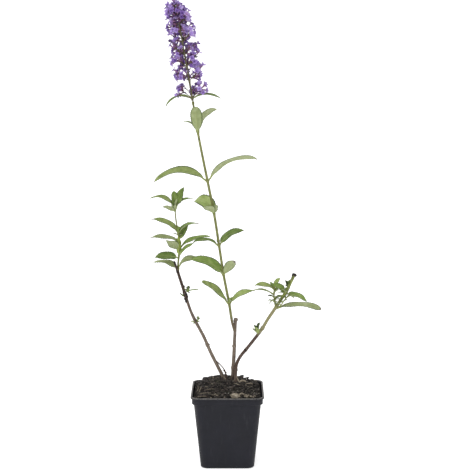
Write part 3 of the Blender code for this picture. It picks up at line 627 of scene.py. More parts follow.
# Dark, base and light screen colour of each mottled finish, and its skin
MOTTLED = {
    "leaf_fresh": ((132, 153, 80), (161, 179, 107), (188, 202, 142), LEAF_SKIN),
    "leaf_young": ((134, 150, 60), (163, 178, 82), (192, 204, 122), LEAF_SKIN),
    "leaf_mid": ((99, 125, 53), (129, 153, 78), (161, 178, 112), LEAF_SKIN),
    "leaf_soft": ((111, 131, 68), (142, 158, 91), (170, 182, 122), LEAF_SKIN),
    "leaf_deep": ((80, 102, 47), (109, 131, 67), (142, 159, 98), LEAF_SKIN),
    # A very dark green painted on the small leaves tucked inside clusters, as the shade they sit in
    "leaf_dusk": ((44, 58, 34), (64, 82, 48), (96, 114, 72), LEAF_SKIN),
    "leaf_pale": ((132, 145, 94), (156, 167, 117), (180, 189, 146), LEAF_SKIN),
    "leaf_felt": ((143, 155, 106), (165, 175, 128), (187, 194, 156),
                  Skin(0.85, 180.0, 0.6, 0.3, 4200.0, 0.00022, 0.15)),
    # Dark green painted on the underside's margin strips, as the shade of the curled edge
    "felt_edge_painted_shade": ((66, 82, 38), (90, 106, 56), (120, 134, 82), Skin(0.7)),
    "leaf_rib": ((126, 140, 72), (152, 164, 98), (174, 184, 126), Skin(0.6)),
    # Dark green painted on the upper face's margin strips, as the shade of the curled, toothed edge
    "leaf_edge_painted_shade": ((42, 58, 24), (60, 78, 36), (88, 104, 58), Skin(0.6)),
    "leaf_dry": ((104, 102, 86), (134, 130, 114), (164, 160, 144), Skin(0.9)),
    "young_stem": ((92, 92, 50), (124, 128, 70), (154, 158, 100),
                   Skin(0.65, 220.0, 0.8, 0.3, 3000.0, 0.0002, 0.08)),
    "rachis_skin": ((74, 72, 48), (100, 96, 64), (128, 122, 90), Skin(0.7, 220.0, 0.6, 0.3)),
    "cut_wood": ((60, 48, 40), (104, 86, 68), (150, 130, 104), Skin(0.85)),
    "cut_black": ((18, 15, 14), (36, 30, 28), (62, 52, 48), Skin(0.8)),
    "dry_twig": ((50, 38, 32), (76, 60, 50), (108, 90, 76), Skin(0.85)),
    "petal_violet": ((104, 70, 150), (140, 106, 185), (174, 145, 211), PETAL_SKIN),
    "petal_deep": ((76, 46, 120), (108, 75, 155), (142, 107, 186), PETAL_SKIN),
    "petal_light": ((138, 109, 183), (168, 140, 210), (199, 176, 231), PETAL_SKIN),
    "petal_pale": ((160, 134, 202), (184, 160, 221), (210, 190, 238), PETAL_SKIN),
    "petal_rose": ((136, 92, 152), (166, 124, 182), (198, 164, 210), PETAL_SKIN),
    "floret_tube": ((112, 66, 102), (150, 102, 142), (186, 142, 178),
                    Skin(0.65, 500.0, 0.8, 0.3, sheen=0.1)),
    "floret_eye": ((120, 50, 30), (190, 96, 34), (226, 150, 60), Skin(0.6)),
    "floret_bud": ((48, 30, 64), (74, 50, 100), (108, 80, 138), Skin(0.6, 500.0, 0.8, 0.3)),
    "calyx": ((70, 55, 54), (98, 83, 70), (128, 115, 92), Skin(0.75, 400.0, 0.8)),
    "flower_stalk": ((76, 65, 50), (104, 93, 70), (134, 123, 94), Skin(0.75, 400.0, 0.8)),
    "peat_crumb": ((19, 17, 17), (40, 37, 36), (73, 67, 62), PEAT_SKIN),
    "peat_pale": ((54, 51, 48), (90, 85, 80), (134, 127, 120), PEAT_SKIN),
    "bark_chip": ((36, 31, 30), (66, 58, 54), (106, 95, 86),
                  Skin(0.9, 350.0, 0.9, 0.3, 1200.0, 0.0004)),
    "straw": ((112, 101, 84), (150, 138, 120), (188, 177, 160), Skin(0.8, 400.0, 0.8)),
    "moss_fibre": ((46, 43, 39), (76, 72, 65), (120, 114, 103), Skin(0.9, 500.0, 0.9)),
    "perlite": ((176, 172, 164), (206, 203, 196), (228, 226, 222), Skin(0.9, 700.0)),
    "stone": ((112, 100, 86), (156, 144, 126), (198, 188, 170),
              Skin(0.8, 400.0, 0.9, 0.4, 1400.0, 0.0003)),
}
# Darkness of each bark's cracks, and its colours up the cane
BARKS = {
    "bark_middle": (0.42, (96, (84, 68, 60)), (106, (122, 106, 96)), (118, (146, 130, 116)),
                    (150, (138, 124, 112))),
    "bark_left": (0.42, (96, (92, 76, 66)), (105, (144, 130, 116)), (172, (122, 106, 95)),
                  (202, (74, 58, 52)), (246, (36, 30, 28))),
    "bark_right": (0.2, (100, (96, 78, 70)), (166, (167, 163, 118)), (202, (150, 162, 88)),
                   (238, (34, 29, 27))),
}


def make_finishes():
    """Every finish of the plant and pot, by name."""
    made = {name: mottled(name, *row) for name, row in MOTTLED.items()}
    made.update({name: bark(name, *row) for name, row in BARKS.items()})
    made.update({finish.name: finish for finish in (stem_skin(), pot_plastic(), peat_ground())})
    return made


FINISHES = make_finishes()


# Mesh tools

def put(name, data):
    """A new object in the scene."""
    obj = bpy.data.objects.new(name, data)
    bpy.context.scene.collection.objects.link(obj)
    return obj


class Heap:
    """Small closed forms gathered into one joined piece, each face with its finish."""

    def __init__(self, *finishes):
        self.finishes = list(finishes)
        self.points = []
        self.faces = []
        self.worn = []
        self.count = 0

    def add(self, points, faces, finish):
        """points is an (n, 3) array, faces a list of arrays of 3 or 4 corners, and finish a
        name, or one list of names for each array of faces."""
        self.points.append(np.asarray(points, float))
        for number, part in enumerate(faces):
            if not len(part):
                continue
            self.faces.append(np.asarray(part, np.int64) + self.count)
            names = finish if isinstance(finish, str) else finish[number]
            if isinstance(names, str):
                self.worn.append(np.full(len(part), self.finishes.index(names)))
            else:
                self.worn.append(np.array([self.finishes.index(name) for name in names]))
        self.count += len(points)

    def tube(self, route, radii, sides, finish):
        self.add(*sweep(route, radii, sides), finish)

    def piece(self, name, slot, *replaced):
        """The heap as one smooth object that rides with the plant."""
        mesh = bpy.data.meshes.new(name)
        points = np.concatenate(self.points) * MM
        sizes = np.concatenate([np.full(len(part), part.shape[1]) for part in self.faces])
        corners = np.concatenate([part.ravel() for part in self.faces])
        mesh.vertices.add(len(points))
        mesh.vertices.foreach_set("co", points.astype(np.float32).ravel())
        mesh.loops.add(len(corners))
        mesh.loops.foreach_set("vertex_index", corners.astype(np.int32))
        mesh.polygons.add(len(sizes))
        starts = np.concatenate([[0], np.cumsum(sizes)[:-1]])
        mesh.polygons.foreach_set("loop_start", starts.astype(np.int32))
        mesh.polygons.foreach_set("material_index", np.concatenate(self.worn).astype(np.int32))
        mesh.update(calc_edges=True)
        mesh.validate()
        mesh.shade_smooth()
        for finish in self.finishes:
            mesh.materials.append(FINISHES[finish])
        obj = put(name, mesh)
        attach(obj, "root")
        if replaced:
            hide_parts(*replaced)
        return obj


def ring_faces(rings, sides):
    """Quads that join rings of equal count, each ring closed on itself."""
    low = np.arange((rings - 1) * sides).reshape(rings - 1, sides)
    nxt = np.roll(low, -1, axis=1)
    return np.stack([low, nxt, nxt + sides, low + sides], axis=-1).reshape(-1, 4)


def closed(rings, first, last):
    """Points and faces of a closed form: rings of points joined in turn, and over each end a fan
    from a middle point."""
    rings = np.asarray(rings, float)
    count, sides = rings.shape[:2]
    total = count * sides
    ring = np.arange(sides)
    following = np.roll(ring, -1)
    top = total - sides
    ends = np.concatenate([
        np.stack([following, ring, np.full(sides, total)], axis=-1),
        np.stack([top + ring, top + following, np.full(sides, total + 1)], axis=-1),
    ])
    return np.concatenate([rings.reshape(-1, 3), [first, last]]), [ring_faces(count, sides), ends]


def unit(vectors):
    return vectors / np.linalg.norm(vectors, axis=-1, keepdims=True)


def smooth_route(guide, spacing):
    """Places and radii, close together, along one smooth curve through a limb's guide points."""
    guide = np.array(guide, float)
    places = guide[:, :3]
    spans = np.linalg.norm(np.diff(places, axis=0), axis=1)
    slopes = np.diff(places, axis=0) / spans[:, None]
    before, after = spans[:-1, None], spans[1:, None]
    middle = (slopes[:-1] * after + slopes[1:] * before) / (before + after)
    tangents = np.concatenate([slopes[:1], middle, slopes[-1:]])
    route = []
    radii = []
    for i, span in enumerate(spans):
        steps = max(1, round(span / spacing))
        t = np.arange(steps)[:, None] / steps
        route.append(
            places[i] * (2 * t**3 - 3 * t**2 + 1)
            + tangents[i] * span * (t**3 - 2 * t**2 + t)
            + places[i + 1] * (3 * t**2 - 2 * t**3)
            + tangents[i + 1] * span * (t**3 - t**2)
        )
        radii.append(guide[i, 3] + (guide[i + 1, 3] - guide[i, 3]) * t[:, 0])
    route.append(places[-1:])
    radii.append(guide[-1:, 3])
    return np.concatenate(route), np.concatenate(radii)


def cross_axes(route):
    """Two axes across a route, at each of its places, that don't twist."""
    along = unit(np.gradient(route, axis=0))
    across = np.empty_like(along)
    arm = np.cross(along[0], (0.3, 1.0, 0.2))
    for i, direction in enumerate(along):
        arm = arm - direction * arm.dot(direction)
        arm = arm / np.linalg.norm(arm)
        across[i] = arm
    return across, np.cross(along, across)


def sweep(route, radii, sides):
    """A tube with closed ends. radii is one radius a ring, or one for each point of each ring."""
    across, other = cross_axes(route)
    angle = np.arange(sides) * math.tau / sides
    radii = np.asarray(radii, float)
    if radii.ndim == 1:
        radii = np.repeat(radii[:, None], sides, axis=1)
    arms = across[:, None] * np.cos(angle)[:, None] + other[:, None] * np.sin(angle)[:, None]
    return closed(route[:, None] + arms * radii[:, :, None], route[0], route[-1])


def on_limb(guide, z):
    """Place, direction and radius of the limb at a height."""
    route, radii = smooth_route(guide, 2.0)
    i = int(np.clip(np.searchsorted(route[:, 2], z), 1, len(route) - 1))
    rise = route[i, 2] - route[i - 1, 2]
    share = min(max((z - route[i - 1, 2]) / rise, 0.0), 1.0)
    step = route[i] - route[i - 1]
    return route[i - 1] + step * share, unit(step), radii[i - 1] + (radii[i] - radii[i - 1]) * share


def level(angle):
    """The level direction at an angle from +X towards +Y."""
    return np.array([math.cos(angle), math.sin(angle), 0.0])


def noise_at(x, y, z):
    return noise.noise(Vector((x, y, z)))


# Leaves

def blade_half_width(t, leaf):
    """Half width at t along a lance-shaped leaf: a thin petiole, then the blade."""
    u = np.clip((t - PETIOLE_SHARE) / (1 - PETIOLE_SHARE), 0, 1)
    peak = BLADE_RISE / (BLADE_RISE + leaf.tip)
    swell = (u / peak) ** BLADE_RISE * ((1 - u) / (1 - peak)) ** leaf.tip
    least = np.maximum(PETIOLE_HALF * (1 - u), TIP_HALF * (1 - u) ** 0.25)
    return np.maximum(swell * leaf.width / 2, least)


def leaf_rib(root, leaf, t):
    """Places along the midrib with the blade's side and up axes at each."""
    heading = math.radians(leaf.heading)
    roll = math.radians(leaf.roll)
    rise = np.radians(leaf.rise - leaf.droop * t - leaf.hook * np.clip(t / 0.15 - 5.67, 0, 1) ** 2)
    along = np.stack([np.cos(rise) * math.cos(heading), np.cos(rise) * math.sin(heading),
                      np.sin(rise)], axis=1)
    steps = along[:-1] * (leaf.length / (len(t) - 1))
    places = root + np.concatenate([[(0, 0, 0)], np.cumsum(steps, axis=0)])
    level_side = np.array([math.sin(heading), -math.cos(heading), 0])
    level_up = np.cross(level_side, along)
    side = level_side * math.cos(roll) + level_up * math.sin(roll)
    return places, side, level_up * math.cos(roll) - level_side * math.sin(roll)


def blade_grid(t, leaf, teeth, half, on_blade):
    """How far each point is from the rib, out to both toothed margins."""
    tooth = min(TOOTH_DEPTH, leaf.width * 0.05) * on_blade
    sides = []
    for way, offset in ((-1, 0.0), (1, 0.5)):
        edge = half + tooth * ((t * teeth + offset) % 1.0 - 0.4)
        rib = np.minimum(RIB_HALF * (1.15 - t), edge * 0.6)
        sides.append([way * (rib + (edge - rib) * share) for share in BLADE_COLUMNS])
    return np.stack(sides[0][::-1] + [np.zeros(len(t))] + sides[1], axis=1)


def blade_relief(x, t, leaf, half, on_blade, phase):
    """Height of the upper face, with sunken veins and waved margins, and the leaf's thickness."""
    out = np.abs(x)
    share = out / np.maximum(half, 0.05)[:, None]
    t = t[:, None]
    on_blade = on_blade[:, None]
    along = t * leaf.length
    size = min(1.0, leaf.width / FULL_RELIEF_WIDTH)
    top = leaf.fold * out * (0.6 + 0.4 * share)
    veins = np.abs(np.sin(math.pi * (along - VEIN_SLANT * out) / VEIN_PITCH)) ** 0.7
    top += VEIN_PUFF * size * veins * np.clip(share * 3, 0, 1) * (1 - share**4) * on_blade
    wave = np.sin(along / leaf.length * math.tau * 1.6 + phase + np.sign(x) * 1.1)
    top += WAVE * size * wave * share**2 * on_blade
    top -= CURL * size * share**4 * on_blade
    top -= RIB_GROOVE * np.exp(-(out / 0.55) ** 2) * on_blade
    thick = (MARGIN_THICK + (BLADE_THICK - MARGIN_THICK) * (1 - share**2)) * (1 - 0.4 * t)
    ridge = RIB_RIDGE * np.exp(-(out / 0.6) ** 2) * (1.1 - t)
    petiole = 0.8 * (1 - on_blade) * (1 - share**2) * (t < 0.5)
    return top, thick + ridge + petiole


def leaf_faces(t, count, leaf):
    """Faces of a leaf and the finish of each. Its rows, at t, run across the upper face in count
    points and back across the lower one, with the rib in the middle and the margins at the ends."""
    ring = 2 * count
    walls = ring_faces(len(t), ring)[:, ::-1]
    row_t = np.repeat(t[:-1], ring)
    column = np.tile(np.arange(ring), len(t) - 1)
    names = np.full(len(walls), "leaf_" + leaf.tone, dtype=object)
    # The strips along both margins, above and beneath, take painted shade
    names[np.isin(column, (0, 1, count - 3, count - 2, count - 1, ring - 1))] = "leaf_edge_painted_shade"
    names[(column > count + 1) & (column < ring - 3)] = leaf.under
    names[np.isin(column, (count, count + 1, ring - 3, ring - 2))] = "felt_edge_painted_shade"
    middle = count // 2
    on_rib = np.isin(column, (middle - 1, middle, count + middle - 1, count + middle))
    names[(on_rib & (row_t < 0.8)) | (row_t < PETIOLE_SHARE * 1.5)] = "leaf_rib"
    names[row_t > 1 - leaf.dry] = "leaf_dry"
    low = np.arange(count - 1)
    foot = np.stack([low, low + 1, ring - 2 - low, ring - 1 - low], axis=-1)
    tip = (foot + (len(t) - 1) * ring)[:, ::-1]
    return [walls, np.concatenate([foot, tip])], [names, "leaf_rib"]


def grow_leaf(heap, root, leaf, dice):
    """A toothed leaf with both its faces, and a raised rib beneath."""
    teeth = max(4, round(leaf.length / TOOTH_PITCH))
    t = np.linspace(0, 1, teeth * STATIONS_A_TOOTH + 1)
    half = blade_half_width(t, leaf)
    on_blade = np.clip((t - PETIOLE_SHARE) * 8, 0, 1) * np.clip((1 - t) * 10, 0, 1)
    x = blade_grid(t, leaf, teeth, half, on_blade)
    top, thick = blade_relief(x, t, leaf, half, on_blade, dice.uniform(0, math.tau))
    places, side, up = leaf_rib(root, leaf, t)
    upper = places[:, None] + side[:, None] * x[..., None] + up[:, None] * top[..., None]
    lower = upper - up[:, None] * thick[..., None]
    points = np.concatenate([upper, lower[:, ::-1]], axis=1).reshape(-1, 3)
    heap.add(points, *leaf_faces(t, x.shape[1], leaf))


LEAF_FINISHES = ("leaf_fresh", "leaf_young", "leaf_mid", "leaf_soft", "leaf_deep", "leaf_dusk",
                 "leaf_pale", "leaf_felt", "leaf_rib", "leaf_edge_painted_shade", "felt_edge_painted_shade", "leaf_dry")


def leaf_root(guide, leaf):
    """Where a leaf's petiole starts, a little inside its limb's skin."""
    place, direction, radius = on_limb(guide, leaf.z)
    outwards = level(math.radians(leaf.heading))
    outwards = unit(outwards - direction * outwards.dot(direction))
    return place + outwards * (radius - SUNK_IN_STEM)


def make_leaves(name, limbs, dice, *replaced):
    """The leaves of some limbs, which are (guide, leaves) pairs, as one piece."""
    heap = Heap(*LEAF_FINISHES)
    for guide, leaves in limbs:
        for leaf in leaves:
            grow_leaf(heap, leaf_root(guide, leaf), leaf, dice)
    heap.piece(name, "leaf", *replaced)


def make_stem_leaves():
    limbs = [(FLOWERING_STEM, leaves) for leaves in STEM_LEAVES.values()]
    make_leaves("stem_leaves", limbs, random.Random(3), *STEM_LEAVES)


def make_shoot_leaves():
    dice = random.Random(5)
    limbs = [(SHOOT_LEFT, SHOOT_LEFT_LEAVES)]
    make_leaves("left_shoot_leaves", limbs, dice, "leafy_shoot_left")
    limbs = [(SHOOT_RIGHT, SHOOT_RIGHT_LEAVES), (SIDE_TWIG_RIGHT, SIDE_TWIG_LEAVES),
             (CANE_RIGHT, CANE_RIGHT_LEAVES)]
    make_leaves("right_shoot_leaves", limbs, dice, "leafy_shoot_right", "leaf_pair_right")


def make_tufts():
    """Little leafy shoots on the canes' bare nodes, each leaf on its own short stalk."""
    dice = random.Random(8)
    heap = Heap("young_stem", *LEAF_FINISHES)
    for shoots in TUFTS.values():
        for guide, z, places, leaves in shoots:
            foot, _, _ = on_limb(guide, z)
            radii = np.linspace(TUFT_STALK_RADIUS, TUFT_STALK_RADIUS * 0.7, len(places) + 1)
            stalk = [(*place, radius) for place, radius in zip([foot, *places], radii)]
            route, widths = smooth_route(stalk, 0.5)
            heap.tube(route, widths, SMALL_SIDES, "young_stem")
            for share, heading, rise, droop, length, width, tone in leaves:
                root = route[round(share * (len(route) - 1))]
                leaf = Leaf(0, heading, rise, droop, length, width, 0, tone, tip=0.7, fold=0.4,
                            under="leaf_" + tone)
                grow_leaf(heap, root, leaf, dice)
    heap.piece("bud_tufts", "leaf", *TUFTS)


# Limbs

# Each cane: guide points, heights of its nodes, finishes of its bark and cut, seed, and its black
# stubs and scars as (height, heading, size)
CANES = {
    "cane_middle": (CANE_MIDDLE, (118, 146, 178), "bark_middle", "cut_wood", 1.0, [
        (179.5, 10, 1.4), (118, 330, 1.5), (146, 200, 1.1),
    ]),
    "cane_left": (CANE_LEFT, (147, 176.5, 212, 238), "bark_left", "cut_black", 11.0, [
        (211, 330, 1.5), (209, 20, 1.4), (206.5, 350, 1.6), (204, 200, 1.6), (201.5, 215, 1.4),
        (207.5, 170, 1.3), (238, 250, 1.3), (219, 15, 1.2), (177, 300, 1.2), (147, 20, 1.2),
    ]),
    "cane_right": (CANE_RIGHT, (117, 143, 171.5, 198, 216.5), "bark_right", "cut_black", 23.0, [
        (239, 0, 1.5), (240, 180, 1.6), (240.5, 300, 1.4), (169, 120, 1.3), (143, 250, 1.2),
    ]),
}
# Each green shoot with the heights of its nodes
SHOOTS = [
    (SHOOT_LEFT, (242, 258, 277, 287, 315)), (SHOOT_RIGHT, (207, 216, 222)),
    (SIDE_TWIG_RIGHT, (214,)),
]
DRY_TWIG_KNOTS = [(-4.0, -2.4, 116.0), (-2.6, -3.0, 113.8), (-1.6, -3.6, 108.6)]
DRY_KNOT_SIZE = (1.3, 1.2, 1.7)
CANE_SIDES = 28
STEM_SIDES = 24
SHOOT_SIDES = 16
TWIG_SIDES = 10


def bark_relief(route, radii, sides, nodes, seed):
    """Radii with long ridges, fine cracks and a swollen ring with two leaf scars at each node."""
    run = np.concatenate([[0], np.cumsum(np.linalg.norm(np.diff(route, axis=0), axis=1))])
    angles = math.tau * np.arange(sides) / sides
    relief = np.zeros((len(route), sides))
    for i, along in enumerate(run):
        for k, angle in enumerate(angles):
            round_x = math.cos(angle) * 1.7
            round_y = math.sin(angle) * 1.7
            ridge = 1 - abs(noise_at(round_x + seed, round_y, along * 0.10)) * 2.4
            fine = noise_at(round_x * 3.1, round_y * 3.1 + seed, along * 0.42)
            broad = noise_at(round_x * 0.5, seed, along * 0.06)
            relief[i, k] = 0.10 * ridge + 0.08 * fine + 0.10 * broad - 0.06
    for number, z in enumerate(nodes):
        relief += at_node(route, z, 1.5, 0.30 + 0.35 * across_from(angles, number) ** 3)
    return radii[:, None] + relief


def across_from(angles, number):
    """How far round a limb each angle is from a node's two leaves: nodes cross in turn."""
    return np.abs(np.cos(angles - math.pi / 2 * (number % 2)))


def at_node(route, z, reach, swell):
    """A swelling round a limb that fades away from a node's height."""
    near = (route[:, 2] - z) / reach
    return np.exp(-near[:, None] ** 2) * swell[None, :]


def make_cane(name, guide, nodes, finish, top, seed, knots):
    """A woody cane with its cut top and its stubs, which stands in for the plain one."""
    route, radii = smooth_route(guide, 0.9)
    heap = Heap(finish, top)
    relief = bark_relief(route, radii, CANE_SIDES, nodes, seed)
    heap.tube(route, relief, CANE_SIDES, [finish, top])
    dice = random.Random(seed)
    for z, heading, size in knots:
        place, _, radius = on_limb(guide, z)
        out = level(math.radians(heading)) * (radius - size * 0.25)
        lump(heap, top, place + out, (size, size, size * 1.5), dice, 30, 0.2, KNOT_DETAIL)
    heap.piece(name + "_bark", "bark", name)


def grow_stem(heap, guide, nodes, sides, finish):
    """A soft stem: bluntly four-angled, swollen at its nodes, with fine ridges."""
    route, radii = smooth_route(guide, 1.0)
    angles = math.tau * np.arange(sides) / sides
    shape = radii[:, None] * (1 + 0.07 * np.cos(4 * angles) + 0.015 * np.cos(11 * angles))[None, :]
    for number, z in enumerate(nodes):
        shape += at_node(route, z, 1.7, 0.35 + 0.25 * across_from(angles, number) ** 2)
    heap.tube(route, shape, sides, finish)


def make_green_stems():
    heap = Heap("stem_skin")
    grow_stem(heap, FLOWERING_STEM, STEM_NODES, STEM_SIDES, "stem_skin")
    heap.piece("flowering_stem_skin", "green_stem", "flowering_stem")
    heap = Heap("young_stem")
    for guide, nodes in SHOOTS:
        grow_stem(heap, guide, nodes, SHOOT_SIDES, "young_stem")
    heap.piece("shoot_stems", "green_stem", "leafy_shoot_left", "leafy_shoot_right")


def make_dry_twig():
    route, radii = smooth_route(DRY_TWIG, 0.8)
    rough = np.array([[0.12 * noise_at(k * 0.9, i * 0.35, 4.2) for k in range(TWIG_SIDES)]
                      for i in range(len(route))])
    heap = Heap("dry_twig")
    heap.tube(route, radii[:, None] + rough, TWIG_SIDES, "dry_twig")
    dice = random.Random(2)
    for place in DRY_TWIG_KNOTS:
        lump(heap, "dry_twig", place, DRY_KNOT_SIZE, dice, 40, 0.3, KNOT_DETAIL)
    heap.piece("dry_twig_bark", "dry_wood", "dry_twig")


# Flower panicle

def tier_heights():
    """Height of each tier of flowers up the rachis: the first sits in the bracts' axils."""
    z = RACHIS[0][2] + 3.5
    step = FIRST_INTERNODE
    heights = []
    for _ in range(TIERS):
        heights.append(z)
        z += step
        step *= INTERNODE_SHRINK
    return heights


def share_up_rachis(z):
    return (z - RACHIS[0][2]) / (RACHIS[-1][2] - RACHIS[0][2])


def panicle_reach(z):
    """How far from the rachis the flowers of a tier reach."""
    return REACH_BELOW + (REACH_ABOVE - REACH_BELOW) * min(1, share_up_rachis(z)) ** REACH_POWER


def cyme_aim(tier, side, up, dice):
    """Direction of one cyme's stalk: tiers swing to and fro by a little as they go up."""
    swing = CYME_SWING * (1 if tier % 2 else -1)
    heading = math.radians(swing + 360 * side / CYMES_A_TIER + dice.uniform(-12, 12))
    lift = math.radians(CYME_LIFT + dice.uniform(-9, 9))
    return unit(level(heading) * math.cos(lift) + up * math.sin(lift)), lift


def axes_round(direction):
    across = unit(np.cross(direction, (0.31, 0.87, 0.38)))
    return across, np.cross(direction, across)


def beside(direction, turn):
    """The direction square to another at an angle round it."""
    across, other = axes_round(direction)
    return across * math.cos(turn) + other * math.sin(turn)


def petals(heap, mouth, direction, finish, dice):
    """Four rounded, ruffled lobes round a sunken throat, as one thin closed form."""
    across, other = axes_round(direction)
    turn = dice.uniform(0, math.tau)
    reach = LOBE_REACH * dice.uniform(0.84, 1.06)
    flare = dice.random()
    angle = np.arange(LOBE_STEPS) * math.tau / LOBE_STEPS
    outline = reach * (0.58 + 0.42 * np.abs(np.cos(2 * angle)) ** 0.7)
    outline += 0.12 * np.sin(12 * angle + turn)
    rings = np.array(LOBE_RINGS)[:, None]
    ruffle = 0.3 * np.sin(6 * angle + turn * 3) + 0.22 * np.sin(10 * angle - turn * 2)
    height = (3.4 - 2.2 * flare) * rings**0.8 + ruffle * rings**2
    height += 0.3 * rings**2 * np.cos(4 * angle)
    spread = outline * rings * (0.82 + 0.18 * flare)
    arms = across * np.cos(angle + turn)[:, None] + other * np.sin(angle + turn)[:, None]
    upper = mouth + arms * spread[..., None] + direction * (height - 0.5)[..., None]
    lower = upper - direction * LOBE_THICK * (1.3 - rings)[..., None]
    shell = np.concatenate([upper, lower[::-1]])
    points, faces = closed(shell, mouth - direction * THROAT_FACE, mouth - direction * THROAT_BACK)
    # The lobes' outer halves, above and beneath, are paler
    tones = [finish] * 2 + [PETAL_RIM[finish]] * 5 + [finish] * 2
    heap.add(points, faces, [np.repeat(tones, LOBE_STEPS), finish])


def small_tube(heap, start, end, radii, finish, bow=0.0):
    """A short tube between two places, with a radius at each of its rings."""
    steps = np.linspace(0, 1, len(radii))[:, None]
    across, _ = axes_round(unit(end - start))
    route = start + (end - start) * steps + across * bow * np.sin(math.pi * steps)
    heap.tube(route, radii, SMALL_SIDES, finish)


PETAL_TONES = ("petal_violet", "petal_deep", "petal_light", "petal_rose")
PETAL_RIM = {
    "petal_deep": "petal_violet", "petal_violet": "petal_light", "petal_light": "petal_pale",
    "petal_rose": "petal_pale",
}


def petal_tone(share_up, dice):
    """The tone of a cyme's petals: deeper below, lilac and rose towards the top."""
    weights = (3.8, 3.2 * (1 - share_up) + 0.8, 1.6 + 2.4 * share_up, 0.5 + 2.6 * share_up**2)
    return dice.choices(PETAL_TONES, weights)[0]


class Flowers:
    """The joined pieces that florets, buds and stalks are gathered in."""

    def __init__(self):
        self.lobes = Heap(*PETAL_TONES, "petal_pale")
        self.tubes = Heap("floret_tube")
        self.eyes = Heap("floret_eye")
        self.calyces = Heap("calyx")
        self.buds = Heap("floret_bud", "petal_rose", "petal_light", "petal_deep")
        self.stalks = Heap("flower_stalk", "rachis_skin")

    def floret(self, root, direction, tone, dice):
        mouth = root + direction * TUBE_LENGTH
        petals(self.lobes, mouth, direction, tone, dice)
        small_tube(self.tubes, root + direction * TUBE_FOOT, mouth - direction * TUBE_TOP,
                   TUBE_RADII, "floret_tube", dice.uniform(-0.4, 0.4))
        small_tube(self.eyes, mouth - direction * EYE_FOOT, mouth - direction * EYE_TOP,
                   [EYE_RADIUS * 0.6, EYE_RADIUS, EYE_RADIUS * 0.5], "floret_eye")
        small_tube(self.calyces, root, root + direction * CALYX_LENGTH,
                   [0.4, CALYX_RADIUS, CALYX_RADIUS * 0.95], "calyx")

    def bud(self, root, direction, length, radius, finish):
        """A club-shaped unopened flower."""
        radii = [radius * share for share in BUD_PROFILE]
        small_tube(self.buds, root, root + direction * length, radii, finish)

    def stalk(self, start, end, radius=STALK_RADIUS):
        small_tube(self.stalks, start, end, [radius * 1.3, radius, radius], "flower_stalk")

    def place(self):
        heaps = {"floret_lobes": self.lobes, "floret_tubes": self.tubes, "floret_eyes": self.eyes,
                 "floret_calyces": self.calyces, "floret_buds": self.buds}
        for name, heap in heaps.items():
            heap.piece(name, "flower", "flower_panicle")
        self.stalks.piece("flower_stalks", "green_stem", "flower_panicle")


def fan_out(place, aim, stalk, count, spacing, dice):
    """Root and direction of a cyme's florets: one ends the stalk, the others fan round it."""
    turn = dice.uniform(0, math.tau)
    yield place + aim * stalk, aim
    for n in range(count):
        fan = math.radians(FAN_ANGLE * (0.6 + 0.75 * dice.random()))
        tilt = beside(aim, turn + math.tau * n / count)
        root = place + aim * max(1.5, stalk - spacing * n)
        yield root, unit(aim * math.cos(fan) + tilt * math.sin(fan))


def hides_rachis(mouth, share_up, dice):
    """Whether a floret would cover the rachis in front, where most of it stays open."""
    if share_up > OPEN_SHARE_UP or dice.random() > OPEN_CHANCE:
        return False
    axis, _, _ = on_limb(RACHIS, mouth[2])
    return mouth[1] < axis[1] and abs(mouth[0] - axis[0]) < OPEN_HALF


def under_dome(mouth):
    """Whether a floret is inside the cone that the panicle's top tapers to."""
    axis, _, _ = on_limb(RACHIS, mouth[2])
    return mouth[2] + math.hypot(mouth[0] - axis[0], mouth[1] - axis[1]) < DOME_TOP_Z


def grow_cyme(flowers, place, aim, stalk, count, spacing, share_up, mouths, dice):
    """One cyme: a stalk, its open florets where there is room, and a few buds."""
    tone = petal_tone(share_up, dice)
    for root, direction in fan_out(place, aim, stalk, count, spacing, dice):
        mouth = root + direction * TUBE_LENGTH
        free = all(np.linalg.norm(mouth - m) > FLORET_ROOM for m in mouths)
        inside = mouth[2] > RACHIS[0][2] + LOWEST_MOUTH and under_dome(mouth)
        if free and inside and not hides_rachis(mouth, share_up, dice):
            mouths.append(mouth)
            own = tone if dice.random() < OWN_TONE_CHANCE else petal_tone(share_up, dice)
            flowers.floret(root, direction, own, dice)
    flowers.stalk(place, place + aim * (stalk + 0.6))
    finish = "petal_light" if share_up > LILAC_BUDS_FROM else "floret_bud"
    for _ in range(dice.choice((1, 2, 3, 4))):
        tilt = beside(aim, dice.uniform(0, math.tau))
        root = place + aim * stalk * dice.uniform(0.45, 0.95)
        flowers.bud(root, unit(aim + tilt * 0.75), dice.uniform(3.6, 6.5), dice.uniform(0.7, 1.2),
                    finish)


def grow_tiers(flowers, dice):
    """Tiers of cymes, with the lower ones open in front."""
    mouths = []
    for tier, z in enumerate(tier_heights()):
        place, up, _ = on_limb(RACHIS, z)
        share_up = share_up_rachis(z)
        for side, count in enumerate(CYME_FLORETS):
            if side == FRONT_CYME and tier < OPEN_FRONT_TIERS:
                continue
            spacing = CYME_SPACING[side]
            if tier == 0:
                count = min(count, LOWEST_FLORETS)
                spacing = LOWEST_SPACING
            aim, lift = cyme_aim(tier, side, up, dice)
            reach = panicle_reach(z) * (INNER_CYME if side % 2 else 1)
            stalk = max(2.0, reach / math.cos(lift) - TUBE_LENGTH)
            grow_cyme(flowers, place, aim, stalk, count, spacing, share_up, mouths, dice)


def grow_round_buds(flowers, dice):
    """Round buds, each on a stalk from lower down the rachis."""
    for x, y, z, radius, finish in ROUND_BUDS:
        foot, _, _ = on_limb(RACHIS, max(z - 9, RACHIS[0][2] + 3))
        crown = np.array((x, y, z))
        flowers.stalk(foot, crown, STALK_RADIUS * 0.8)
        lump(flowers.buds, finish, crown, (radius, radius, radius), dice, 180, 0.06, KNOT_DETAIL)


